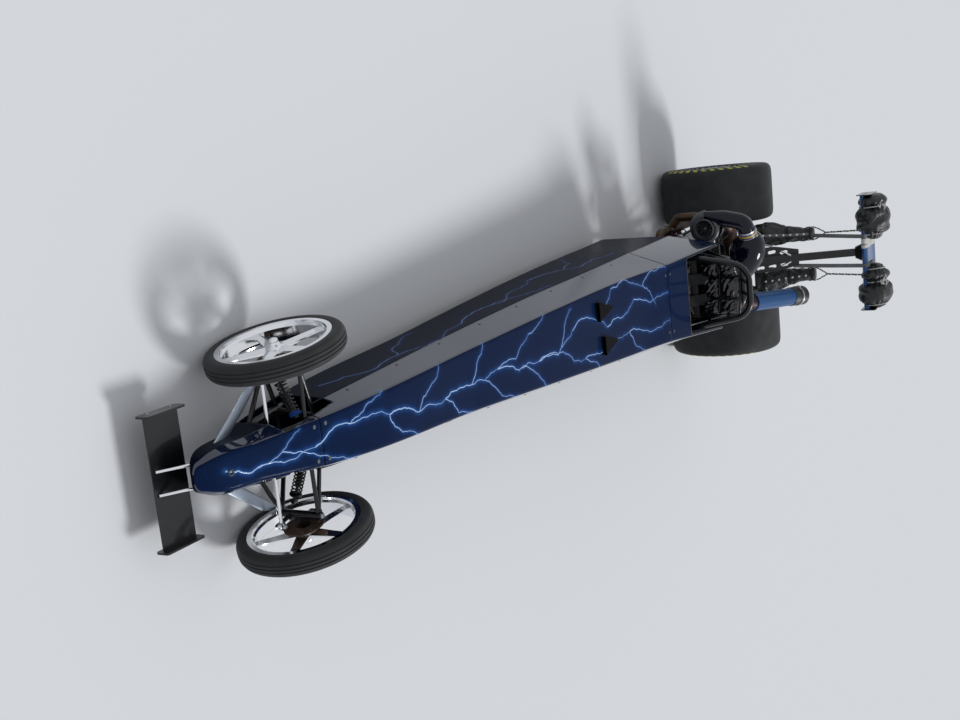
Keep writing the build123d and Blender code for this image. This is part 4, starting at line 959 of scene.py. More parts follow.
def cut_windows(grid, windows, wrap=False):
    """Mask of a body grid's faces that leaves its windows open, their edges drawn on to the outline.

    A face goes where its middle lies in a window on either side of the body; a point left close
    above or below a window's edge is moved on to it.
    """
    after = np.roll(grid, -1, 1) if wrap else grid[:, 1:]
    near = grid if wrap else grid[:, :-1]
    middle = (near[:-1] + near[1:] + after[:-1] + after[1:]) / 4
    keep = np.ones(middle.shape[:2], bool)
    for start, end, low, high in windows:
        inside = (middle[..., 1] > aft(start)) & (middle[..., 1] < aft(end))
        inside &= (middle[..., 2] > low) & (middle[..., 2] < high) & (np.abs(middle[..., 0]) > 0.08)
        keep &= ~inside
        along = (grid[..., 1] > aft(start) - 0.004) & (grid[..., 1] < aft(end) + 0.004)
        along &= np.abs(grid[..., 0]) > 0.08
        for limit in (low, high):
            close = along & (np.abs(grid[..., 2] - limit) < 0.005)
            grid[..., 2] = np.where(close, limit, grid[..., 2])
    return keep


class CarSizes(bpy.types.PropertyGroup):
    """Sizes and colours of the car's finish."""

    body_colour: StringProperty(name="Body colour", description="Navy of the body, as sRGB hex",
                                default="#081632")
    wing_colour: StringProperty(name="Wing colour", description="Blue of the rear wing, as sRGB hex",
                                default="#2b5188")
    deck_rows: IntProperty(name="Deck rows", description="Rows of points along the front deck",
                           default=360, min=40)
    floor_size: FloatProperty(name="Floor size", description="Width of the plain floor",
                              default=400.0, unit="LENGTH")
    tyre_steps: IntProperty(name="Tyre steps", description="Points round each tyre", default=160, min=24)


class DRAGCAR_OT_stage(bpy.types.Operator):
    """Plain pale floor, soft studio light and the camera at the photograph's angle"""
    bl_idname = "dragcar.stage"
    bl_label = "Stage"

    def execute(self, context):
        sizes = context.scene.drag_car
        half = sizes.floor_size / 2
        grid = np.array([[(x, y, 0.0) for x in (-half, half)] for y in (-half, half)])
        floor = grid_object("studio_floor", grid, "floor_plaster")
        camera = add_object("camera", bpy.data.cameras.new("camera"))
        camera.data.lens = CAMERA_LENS
        camera.data.sensor_width = SENSOR
        camera.data.sensor_fit = "HORIZONTAL"
        camera.data.clip_end = 1000.0
        look = (CAMERA_AIM - CAMERA_PLACE).to_track_quat("-Z", "Y").to_matrix().to_4x4()
        camera.matrix_world = Matrix.Translation(CAMERA_PLACE) @ look @ Matrix.Rotation(CAMERA_ROLL, 4, "Z")
        context.scene.camera = camera
        world = bpy.data.worlds.new("studio")
        context.scene.world = world
        world.use_nodes = True
        tree = world.node_tree
        seen = seen_rays(tree)
        background = tree.nodes["Background"]
        tree.links.new(blend_colours(tree, seen, "#eef0f4", BACKDROP), background.inputs["Color"])
        tree.links.new(spread(tree, seen, ROOM_LIGHT, 1.0), background.inputs["Strength"])
        light = bpy.data.lights.new("key_light", "SUN")
        light.energy = KEY_LIGHT
        light.angle = KEY_SPREAD
        lamp = add_object("key_light", light)
        lamp.rotation_euler = (Vector((0, 0, 0)) - KEY_PLACE).to_track_quat("-Z", "Y").to_euler()
        context.scene.view_settings.view_transform = "Standard"
        return {"FINISHED"}


class DRAGCAR_OT_frame_finish(bpy.types.Operator):
    """Finish of every part of the frame that keeps its own shape"""
    bl_idname = "dragcar.frame_finish"
    bl_label = "Frame finish"

    def execute(self, context):
        slots = {row["node"]: row["material_slot"] for row in frame["record"]["subparts"]}
        slots.update(OWN_FINISH)
        for name, node in frame["nodes"].items():
            node.data.materials.clear()
            node.data.materials.append(MATERIALS[slots[name]])
        return {"FINISHED"}


class DRAGCAR_OT_body(bpy.types.Operator):
    """Painted nose, deck, belly and cowl, with lightning over the deck and lower sides"""
    bl_idname = "dragcar.body"
    bl_label = "Painted body"

    def execute(self, context):
        sizes = context.scene.drag_car
        lines = bolt_lines(DECK_BOLTS, deck_half)
        side_lines = bolt_lines(SIDE_BOLTS, side_height)
        self.skin("front_deck", upper_section, DECK_WINDOWS, sizes.deck_rows, self.halo, lines)
        self.skin("belly_pan", lower_section, BELLY_WINDOWS, sizes.deck_rows, self.side_halo, side_lines)
        self.nose(lines)
        self.cowl(lines, side_lines)
        attach(bolt_ribbon("deck_lightning", lines, on_deck, "bolt_paint"))
        # The lower sides' bolts take the bolt paint darkened as painted shade
        for name, side in SIDES:
            attach(bolt_ribbon(f"{name}_lightning", side_lines, on_side(side), "bolt_paint_shaded"))
        self.fasteners()
        return {"FINISHED"}

    def panel(self, piece, node, values):
        """Gives a body panel its halo, its polished band over lower sides darkened as painted shade, its wall
        and its node.
        """
        set_glow(piece, values * HALO)
        piece.data.materials.append(MATERIALS["side_paint"])
        piece.data.materials.append(MATERIALS["shaded_lower_paint"])
        _, y, z = vectors(piece.data.polygons, "center").T
        distance = y - FRONT_AXLE
        round_off = body_column(DECK + 1, distance) - 0.3 * edge_round(distance, DECK_ROUND)[:, 0]
        # Faces below the deck's rounded edge get the mirror band, faces below the crease the near-black
        # painted shade
        finish = (z < round_off).astype(np.int32) + (z < body_column(CREASE + 1, distance))
        piece.data.polygons.foreach_set("material_index", finish)
        attach(thicken(piece, PANEL), node=node)

    def skin(self, node, section, windows, rows, halo, lines):
        """The deck, or the lower sides and floor under it, from the nose seam to the cowl."""
        distances = np.linspace(NOSE_SEAM + SEAM_GAP, COWL_START - SEAM_GAP, rows)
        grid = body_grid(distances, section(distances))
        keep = cut_windows(grid, windows)
        piece = grid_object(f"painted_{node}", grid, "body_paint", keep=keep, flip=True)
        self.panel(piece, node, halo(grid, lines))

    def halo(self, grid, lines):
        """Halo on the flat of a deck grid, fading out past its rounded edges."""
        flat = grid.reshape(-1, 3)
        place = np.stack([flat[:, 1] - FRONT_AXLE, flat[:, 0]], -1)
        top = flat[:, 2] > body_column(DECK + 1, place[:, 0]) - 0.03
        values = np.zeros(len(flat))
        values[top] = glow_field(place[top], lines)
        return values

    def side_halo(self, grid, lines):
        """Halo on the lower sides of a body grid."""
        flat = grid.reshape(-1, 3)
        distance = flat[:, 1] - FRONT_AXLE
        height = flat[:, 2] - body_column(BELLY + 1, distance)
        side = (height > 0.004) & (height < side_height(distance) + 0.002)
        values = np.zeros(len(flat))
        values[side] = SIDE_HALO * glow_field(np.stack([distance[side], height[side]], -1), lines)
        return values

    def nose(self, lines):
        """The nose cone, a closed skin rounded in at its tip and open at the seam."""
        tip = [-0.516, -0.5145, -0.5125, -0.510, -0.5075, -0.505, -0.503, -0.498, -0.490, -0.482]
        distances = np.concatenate([tip, np.linspace(-0.472, NOSE_SEAM - SEAM_GAP, 82)])
        grid = whole_grid(distances)
        keep = cut_windows(grid, NOSE_WINDOWS, wrap=True)
        faces = grid_faces(*grid.shape[:2], wrap_columns=True)[keep.reshape(-1)].tolist()
        faces.append(range(grid.shape[1]))
        nose = make_mesh("painted_nose_cone", grid, faces, "body_paint", closed=True)
        self.panel(nose, "nose_cone", self.halo(grid, lines))
        low, height, high = body_column(DECK + 1, np.array([-0.405, -0.400, -0.395]))
        lip = [(0.006, 0.0), (0.011, 0.0005), (0.0135, 0.002), (0.0125, 0.0045), (0.009, 0.005),
               (0.0065, 0.003)]
        way = unit((0, low - high, 0.010))
        hoop("nose_latch_ring", turned(lip, (0.004, aft(-0.400), height), way, 40), "hose_black")

    def cowl(self, lines, side_lines):
        """Cowl and cockpit sides: the deck stops at the crest and the sides run on to a raked edge."""
        front = np.linspace(COWL_START + SEAM_GAP, CREST, 60)
        rear = np.linspace(CREST, COWL_END, 90)[1:]
        distances = np.concatenate([front, rear])
        grid = whole_grid(distances)
        columns = np.arange(grid.shape[1])
        first = UPPER_COUNTS[0] + UPPER_COUNTS[1] // 2
        last = 2 * UPPER_COUNTS[0] + UPPER_COUNTS[1] + UPPER_COUNTS[1] // 2
        keep = np.ones((len(distances) - 1, len(columns)), bool)
        keep[len(front) - 1:, (columns >= first) & (columns < last)] = False
        rear_rows = grid[len(front):]
        rear_rows[..., 1] = drawn_back(rear[:, None], raked_edge(rear_rows[..., 2]))
        cowl = grid_object("painted_cockpit_cowl", grid, "body_paint", wrap_columns=True, keep=keep,
                           flip=True)
        glow = np.maximum(self.halo(grid, lines), self.side_halo(grid, side_lines))
        self.panel(cowl, "cockpit_cowl", glow)

    def fasteners(self):
        """Quarter-turn fasteners along the deck's lower edge and round both seams."""
        places, ways = [], []
        for distance in np.arange(0.30, 3.25, 0.38):
            for side in (1, -1):
                low, high = corner(CREASE, distance, side), corner(DECK, distance, side)
                middle = low + (high - low) * 0.16
                places.append((middle[0], aft(distance), middle[1]))
                ways.append(unit((side * (high[1] - low[1]), 0.0, abs(low[0] - high[0]))))
        for distance in (-0.012, 0.044, 3.257, 3.313):
            for share in (-0.75, 0.75):
                half, height = corner(DECK, distance)
                places.append((share * half, aft(distance), height))
                ways.append((0.0, -0.08, 1.0))
        outline = [(0.0085, -0.001), (0.0085, 0.0006), (0.006, 0.0013), (0.002, 0.0009)]
        heads = [turned(outline, place, way, 20) for place, way in zip(places, ways)]
        trim("quarter_turn_fasteners", heads, "dull_steel")


def wheel_place(name, side):
    """Centre and outward axle of a front or rear wheel at rest."""
    if name == "rear":
        centre = np.array([side * REAR_TRACK / 2, aft(REAR_AXLE), REAR_TYRE_RADIUS])
        return centre, np.array([side, 0.0, 0.0])
    reach = FRONT_TRACK / 2 - KINGPIN_X
    x = side * (KINGPIN_X + reach * cos(STEERED))
    centre = np.array([x, aft(0) + side * reach * sin(STEERED), FRONT_TYRE_RADIUS])
    return centre, np.array([side * cos(STEERED), side * sin(STEERED), 0.0])


class DRAGCAR_OT_tyres(bpy.types.Operator):
    """Smooth rear slicks and grooved front tyres, with plain bars on the rear tyres' shoulders"""
    bl_idname = "dragcar.tyres"
    bl_label = "Tyres"

    def execute(self, context):
        steps = context.scene.drag_car.tyre_steps
        rear = self.ribbed(smooth_path(REAR_TYRE, 110))
        front = np.concatenate([smooth_path(FRONT_SIDEWALL, 30), FRONT_TREAD])
        for name, half in (("rear", rear), ("front", front)):
            outline = np.concatenate([half, half[::-1] * (1, -1)])
            for side_name, side in SIDES:
                body = "rear_axle" if name == "rear" else f"front_wheel_{side_name}"
                hoop(f"{name}_rubber_{side_name}", turned(outline, *wheel_place(name, side), steps),
                     "tyre_black", body, f"{name}_tyre_{side_name}")
        for side_name, side in SIDES:
            self.marks(side_name, side)
        return {"FINISHED"}

    def ribbed(self, half):
        """The rear half profile with low moulded ridges on its sidewall and a worn shoulder."""
        radius = half[:, 0]
        ridges = sum(np.exp(-((radius - place) / 0.0022) ** 2) for place in (0.236, 0.252, 0.382, 0.391))
        raised = half.copy()
        raised[:, 1] += 0.0011 * ridges
        return raised

    def marks(self, side_name, side):
        """Two arcs of plain slanted bars on a rear tyre's shoulder, each a thin patch that follows it."""
        centre, axle = wheel_place("rear", side)
        profile = smooth_path(REAR_TYRE, 110)
        profile = profile[profile[:, 0] < 0.415]
        offset = np.interp(BAR_RADII, profile[:, 0], profile[:, 1]) + 0.0009
        slant = radians(2.0) * (BAR_RADII - 0.38)[None] / 0.03
        grids = []
        for arc in (pi / 2, 3 * pi / 2):
            for index in range(BARS):
                start = arc + radians(-BAR_SPREAD + 2 * BAR_SPREAD * index / (BARS - 1))
                turn = start + np.linspace(0, BAR_WIDTH, 4)[:, None] + slant
                radial = spokes(axle, turn) * BAR_RADII[None, :, None]
                grids.append(centre + radial + axle * offset[None, :, None])
        bars = patches(f"sidewall_bars_{side_name}", grids, "side_marks", 0.0012)
        attach(bars, "rear_axle")


class DRAGCAR_OT_wheels(bpy.types.Operator):
    """Nuts, caps, valves and rim bolts of the wheels"""
    bl_idname = "dragcar.wheels"
    bl_label = "Wheel trim"

    def execute(self, context):
        for side_name, side in SIDES:
            self.rear(side_name, side)
            self.front(side_name, side)
        return {"FINISHED"}

    def circle(self, centre, axle, radius, offset, count, start=0.0):
        """Places evenly round a wheel at a radius and offset."""
        return centre + spokes(axle, start + around(count)) * radius + axle * offset

    def valve(self, foot, way, stem, length, radius):
        """A valve's stem and, past it, its wider cap."""
        path = [foot, foot + way * stem, foot + way * (stem + 0.0005), foot + way * length]
        return tube_points(path, radius + np.array([0, 0, 0.0008, 0.0008]), 10)

    def rear(self, side_name, side):
        """Five long nuts, a domed cap, the bead ring's bolts and a valve."""
        centre, axle = wheel_place("rear", side)
        nuts = studs(self.circle(centre, axle, 0.050, 0.046, 5, radians(36)), axle, 0.012, 0.026)
        ring = studs(self.circle(centre, axle, 0.2115, 0.208, 24), axle, 0.0048, 0.004)
        cap = turned([(0.030, 0.045), (0.030, 0.058), (0.026, 0.066), (0.016, 0.071), (0.004, 0.073)],
                     centre, axle, 40)
        trim(f"rear_nuts_{side_name}", nuts, "zinc", body="rear_axle")
        trim(f"bead_ring_bolts_{side_name}", ring, "zinc", body="rear_axle")
        trim(f"rear_cap_{side_name}", [cap], "polished", body="rear_axle")
        foot = self.circle(centre, axle, 0.186, 0.116, 1, radians(20))[0]
        valve = self.valve(foot, axle, 0.022, 0.034, 0.004)
        trim(f"rear_valve_{side_name}", [valve], "zinc", body="rear_axle")

    def front(self, side_name, side):
        """Hub cap, small bolts round the hub and a valve in the rim."""
        centre, axle = wheel_place("front", side)
        body = f"front_wheel_{side_name}"
        cap = turned([(0.020, 0.031), (0.0195, 0.040), (0.016, 0.045), (0.008, 0.048), (0.002, 0.0485)],
                     centre, axle, 32)
        bolts = studs(self.circle(centre, axle, 0.029, 0.0205, 5, radians(36)), axle, 0.0042, 0.005)
        trim(f"front_cap_{side_name}", [cap], "polished", body=body)
        trim(f"front_hub_bolts_{side_name}", bolts, "zinc", body=body)
        inner = self.circle(centre, axle, 0.208, 0.006, 1, radians(36))[0]
        way = unit(self.circle(centre, axle, 0.100, 0.016, 1, radians(36))[0] - inner)
        valve = self.valve(inner, way, 0.018, 0.030, 0.0032)
        trim(f"front_valve_{side_name}", [valve], "zinc", body=body)


class DRAGCAR_OT_engine(bpy.types.Operator):
    """Bolts, clamps, fuel rails, leads and pulley of the open engine"""
    bl_idname = "dragcar.engine"
    bl_label = "Engine trim"

    def execute(self, context):
        self.cover_bolts()
        self.fuel()
        self.leads()
        self.clamps()
        self.front_drive()
        self.turbo_trim()
        return {"FINISHED"}

    def cover_bolts(self):
        """Two rows of bolts along each valve cover, and the plenum lid's bolts."""
        heads = []
        for side in (1, -1):
            rows = [(side * x, aft(ENGINE_FRONT + 0.086 + index * 0.0785), z) for index in range(6)
                    for x, z in ((0.3155, 0.5585), (0.2535, 0.6205))]
            heads += studs(rows, unit((side, 0.0, 1.0)), 0.006, 0.006)
        trim("valve_cover_bolts", heads, "zinc")
        lid = [(side * 0.082, aft(distance), 0.860) for side in (1, -1)
               for distance in np.linspace(ENGINE_FRONT + 0.090, PLENUM_END - 0.02, 6)]
        trim("plenum_bolts", studs(lid, UP, 0.005, 0.005), "zinc")

    def fuel(self):
        """A fuel rail along each side of the plenum with a hard line down to each runner's nozzle."""
        lines, nozzles, rails = [], [], []
        for side in (1, -1):
            rails.append(round_bar((side * 0.107, aft(ENGINE_FRONT + 0.070), 0.792),
                                   (side * 0.107, aft(PLENUM_END - 0.010), 0.792), 0.0085))
            for port in PORTS:
                y = aft(min(port, PLENUM_END - 0.030))
                tip = np.array([side * 0.088, y, 0.640])
                outer = tip + (side * 0.014, 0, 0.006)
                nozzles.append(round_bar(tip + (-side * 0.012, 0, -0.004), outer, 0.007))
                route = smooth_path([outer, (side * 0.125, y, 0.668), (side * 0.134, y, 0.725),
                                     (side * 0.124, y, 0.776), (side * 0.112, y, 0.790)], 24)
                lines.append(tube_points(route, 0.0035, 10))
        trim("fuel_rails", rails, "fitting_blue")
        trim("fuel_lines", lines, "zinc")
        trim("fuel_nozzles", nozzles, "fitting_red")

    def leads(self):
        """Ignition leads from each plug under its cover to a loom along the block, with their boots."""
        leads, boots = [], []
        for side in (1, -1):
            loom = np.array([side * 0.252, 0.0, 0.372])
            for port in PORTS:
                y = aft(port)
                plug = np.array([side * 0.292, y + 0.035, 0.452])
                out = unit((side * 1.0, 0.0, -0.9))
                boot = [plug - out * 0.006, plug + out * 0.004, plug + out * 0.030, plug + out * 0.034]
                boots.append(tube_points(boot, [0.008, 0.0085, 0.007, 0.005], 12))
                route = smooth_path([boot[2], plug + out * 0.050, (side * 0.318, y + 0.005, 0.386),
                                     (loom[0], y - 0.030, loom[2])], 22)
                leads.append(tube_points(route, 0.004, 10))
            leads.append(round_bar((loom[0], aft(ENGINE_FRONT + 0.02), loom[2]),
                                   (loom[0], aft(ENGINE_REAR - 0.03), loom[2]), 0.009))
        trim("ignition_leads", leads, "lead_red")
        trim("plug_boots", boots, "hose_black")

    def band(self, centre, axle, radius, width, depth=0.0016):
        """A thin band clamp with rolled edges."""
        half = width / 2
        outline = [(radius, -half), (radius + depth, -half + 0.001), (radius + depth * 0.6, 0.0),
                   (radius + depth, half - 0.001), (radius, half), (radius - 0.002, 0.0)]
        return turned(outline, centre, axle, 56)

    def clamps(self):
        """Clamps and a bright stripe on the coupler, and clamps on the outlet's cap."""
        run = unit(CHARGE_END - CHARGE_BEND)
        middle = CHARGE_END - run * 0.027
        radius = CHARGE_RADIUS + 0.005
        rings = [(middle + run * offset, run, radius + 0.0006, 0.011) for offset in (-0.024, 0.024)]
        outlet = unit(OUTLET_END - OUTLET_START)
        rings.append((OUTLET_END - outlet * 0.055, outlet, OUTLET_RADIUS + 0.0065, 0.012))
        for index, (centre, axle, size, width) in enumerate(rings):
            hoop(f"band_clamp_{index}", self.band(centre, axle, size, width), "zinc")
            up = unit(np.cross(axle, (0, 1.0, 0.2)))
            seat = centre + up * (size + 0.005)
            reach = np.cross(axle, up) * 0.014
            trim(f"clamp_screw_{index}", [round_bar(seat - reach, seat + reach, 0.0045, 10)], "zinc")
        sleeve = [(OUTLET_RADIUS + rise, along) for rise, along in (
            (-0.001, -0.140), (0.003, -0.140), (0.0042, -0.137), (0.0042, -0.079), (-0.001, -0.077))]
        trim("outlet_sleeve", [turned(sleeve, OUTLET_END, outlet, 64)], "hose_black")
        stripe = self.band(middle, run, radius + 0.0008, 0.016)
        hoop("coupler_stripe", stripe, "hose_yellow")

    def front_drive(self):
        """Crank pulley, toothed belt and fuel pump ahead of the front motor plate."""
        y = aft(ENGINE_FRONT - 0.010)
        crank, pump = np.array([0.0, y, CRANK_Z]), np.array([-0.118, y, 0.215])
        pulley = [(0.020, -0.002), (0.064, -0.002), (0.068, -0.004), (0.068, -0.008), (0.061, -0.009),
                  (0.061, -0.031), (0.068, -0.032), (0.068, -0.036), (0.030, -0.036), (0.026, -0.052),
                  (0.006, -0.054)]
        small = [(0.016, -0.002), (0.034, -0.004), (0.034, -0.008), (0.028, -0.009), (0.028, -0.031),
                 (0.034, -0.032), (0.034, -0.036), (0.016, -0.038), (0.004, -0.040)]
        wheels = [turned(pulley, crank, BACK, 56), turned(small, pump, BACK, 40)]
        trim("crank_pulleys", wheels, "machined")
        run = pump - crank
        angle = np.arctan2(run[2], run[0])
        lean = np.arccos((0.061 - 0.028) / np.linalg.norm(run))
        big = np.linspace(angle + lean, angle + 2 * pi - lean, 60)
        little = np.linspace(angle - lean, angle + lean, 24)
        arcs = ((crank, 0.0625, big), (pump, 0.0295, little))
        loop = np.concatenate([np.stack([hub[0] + radius * np.cos(turn), hub[2] + radius * np.sin(turn)], -1)
                               for hub, radius, turn in arcs])
        outward = unit(np.roll(loop, -1, 0) - np.roll(loop, 1, 0))[:, ::-1] * (1, -1)
        corners = [(0.0, -0.030), (0.0025, -0.030), (0.0025, -0.011), (0.0, -0.011)]
        belt = np.stack([np.stack([loop[:, 0] + outward[:, 0] * rise, np.full(len(loop), y + shift),
                                   loop[:, 1] + outward[:, 1] * rise], -1) for rise, shift in corners], 1)
        hoop("pump_belt", belt, "hose_black")
        places = [(x, y - 0.0005, z) for x, z in (
            (-0.255, 0.385), (0.255, 0.385), (-0.255, 0.215), (0.255, 0.215), (0.0, 0.39), (-0.13, 0.39),
            (0.13, 0.39))]
        trim("motor_plate_bolts", studs(places, -BACK, 0.009, 0.008), "zinc")

    def turbo_trim(self):
        """Clamp rings, and oil lines with their fittings."""
        for index, (offset, size) in enumerate(((0.046, 0.074), (0.118, 0.086))):
            ring = self.band(TURBO + BACK * offset, -BACK, size, 0.014, 0.004)
            hoop(f"turbo_clamp_{index}", ring, "zinc")
        top = TURBO + (0.0, 0.080, 0.046)
        feed = [top - (0, 0, 0.004), top + (0, 0, 0.040), top + (0.050, 0.020, 0.082),
                (-0.250, aft(4.300), 0.790), (-0.150, aft(4.330), 0.700), (-0.130, aft(4.330), 0.610)]
        base = TURBO + (0.0, 0.080, -0.044)
        drain = [base, base - (0, 0, 0.06), base + (0.06, -0.01, -0.17), (-0.262, aft(4.262), 0.50),
                 (-0.258, aft(4.262), 0.470)]
        hoses = [tube_points(smooth_path(feed, 48), 0.006, 12),
                 tube_points(smooth_path(drain, 40), 0.009, 12)]
        trim("turbo_oil_lines", hoses, "hose_black")
        fittings = [round_bar(top - (0, 0, 0.004), top + (0, 0, 0.020), 0.010, 6),
                    round_bar(base + (0, 0, 0.004), base - (0, 0, 0.026), 0.014, 6)]
        trim("turbo_oil_fittings", fittings, "fitting_red")


def evaluated_points(piece):
    """Positions of a piece's points after its modifiers."""
    shown = piece.evaluated_get(bpy.context.evaluated_depsgraph_get()).data
    return vectors(shown.vertices, "co")


def remesh(piece, voxel):
    """Replaces a closed piece's mesh by even faces of about voxel across."""
    step = piece.modifiers.new("even", "REMESH")
    step.mode = "VOXEL"
    step.voxel_size = voxel
    step.use_smooth_shade = True
    mesh = bpy.data.meshes.new_from_object(piece.evaluated_get(bpy.context.evaluated_depsgraph_get()))
    piece.modifiers.clear()
    piece.data = mesh
    return piece


def simulate(piece, pressure, slack, cap, held, frames=18):
    """Fills a closed fabric piece with air, its held points fixed, as cloth cut larger by slack.

    The extra cloth buckles into wrinkles between the held points. No point moves further than
    cap from where it was, so the piece keeps the room that its solid has.
    """
    points = evaluated_points(piece)
    group = piece.vertex_groups.new(name="held")
    group.add([int(i) for i in np.nonzero(held(points))[0]], 1.0, "REPLACE")
    cloth = piece.modifiers.new("cloth", "CLOTH")
    settings = cloth.settings
    for key, value in CLOTH.items():
        setattr(settings, key, value)
    settings.uniform_pressure_force = pressure
    settings.shrink_min = settings.shrink_max = -slack
    settings.effector_weights.gravity = 0.0
    cloth.point_cache.frame_end = frames
    for frame_number in range(1, frames + 1):
        bpy.context.scene.frame_set(frame_number)
    moved = evaluated_points(piece) - points
    length = np.linalg.norm(moved, axis=1, keepdims=True)
    points = points + moved * np.minimum(1.0, cap / np.maximum(length, 1e-9))
    piece.modifiers.clear()
    bpy.context.scene.frame_set(1)
    piece.data.vertices.foreach_set("co", points.astype(np.float32).ravel())
    piece.data.update()


def finish_fabric(piece, material):
    """Material, smooth shading and one subdivision of a padded piece."""
    piece.data.materials.clear()
    piece.data.materials.append(MATERIALS[material])
    piece.data.polygons.foreach_set("use_smooth", [True] * len(piece.data.polygons))
    subdivision = piece.modifiers.new("smooth", "SUBSURF")
    subdivision.levels = subdivision.render_levels = 1


def pillow(u, v, width, length):
    """Places on a pad from shares of its half sizes, its edges drawn in between its corners."""
    return u * (width / 2) * (1 - 0.025 * (1 - v ** 2)), v * (length / 2) * (1 - 0.02 * (1 - u ** 2))


def pad(name, middle, across, along, size, channels, material):
    """A stuffed pad: two crowned faces that meet in a seam, pulled in between its corners.

    size is width, length and thickness. Each face rises as the fourth root of one minus the
    fourth power of the distance to its edges, less a furrow at each sewn channel, whose places
    run from 0 to 1 along the pad.
    """
    across, along = unit(across), unit(along)
    out = np.cross(across, along)
    width, length, thickness = size
    u = np.linspace(-1, 1, 33)[:, None]
    v = np.linspace(-1, 1, 49)[None, :]
    x, y = pillow(u, v, width, length)
    rise = (np.maximum(0, 1 - u ** 4) * np.maximum(0, 1 - v ** 4)) ** 0.4
    furrow = sum((np.exp(-(((v + 1) / 2 - place) * length / 0.007) ** 2) for place in channels),
                 np.zeros_like(v))
    crown = rise * (1 - 0.55 * np.minimum(1, furrow))
    faces = []
    for height in (crown * thickness * 0.8, -rise * thickness * 0.2):
        faces.append(middle + x[..., None] * across + y[..., None] * along + height[..., None] * out)
    rows, columns = crown.shape
    quads = grid_faces(rows, columns)
    piece = make_mesh(name, np.concatenate([f.reshape(-1, 3) for f in faces]),
                      np.concatenate([quads, quads[:, ::-1] + rows * columns]).tolist(), material)
    turn_outwards(piece.data, merge=True)
    return piece


def seam_cord(middle, across, along, size):
    """Path of the piping that runs round a pad's seam."""
    width, length, _ = size
    turn = np.linspace(0, 2 * pi, 120)
    u, v = squared(np.cos(turn), 0.35), squared(np.sin(turn), 0.35)
    x, y = pillow(u, v, width, length)
    return middle + x[:, None] * unit(across) + y[:, None] * unit(along)


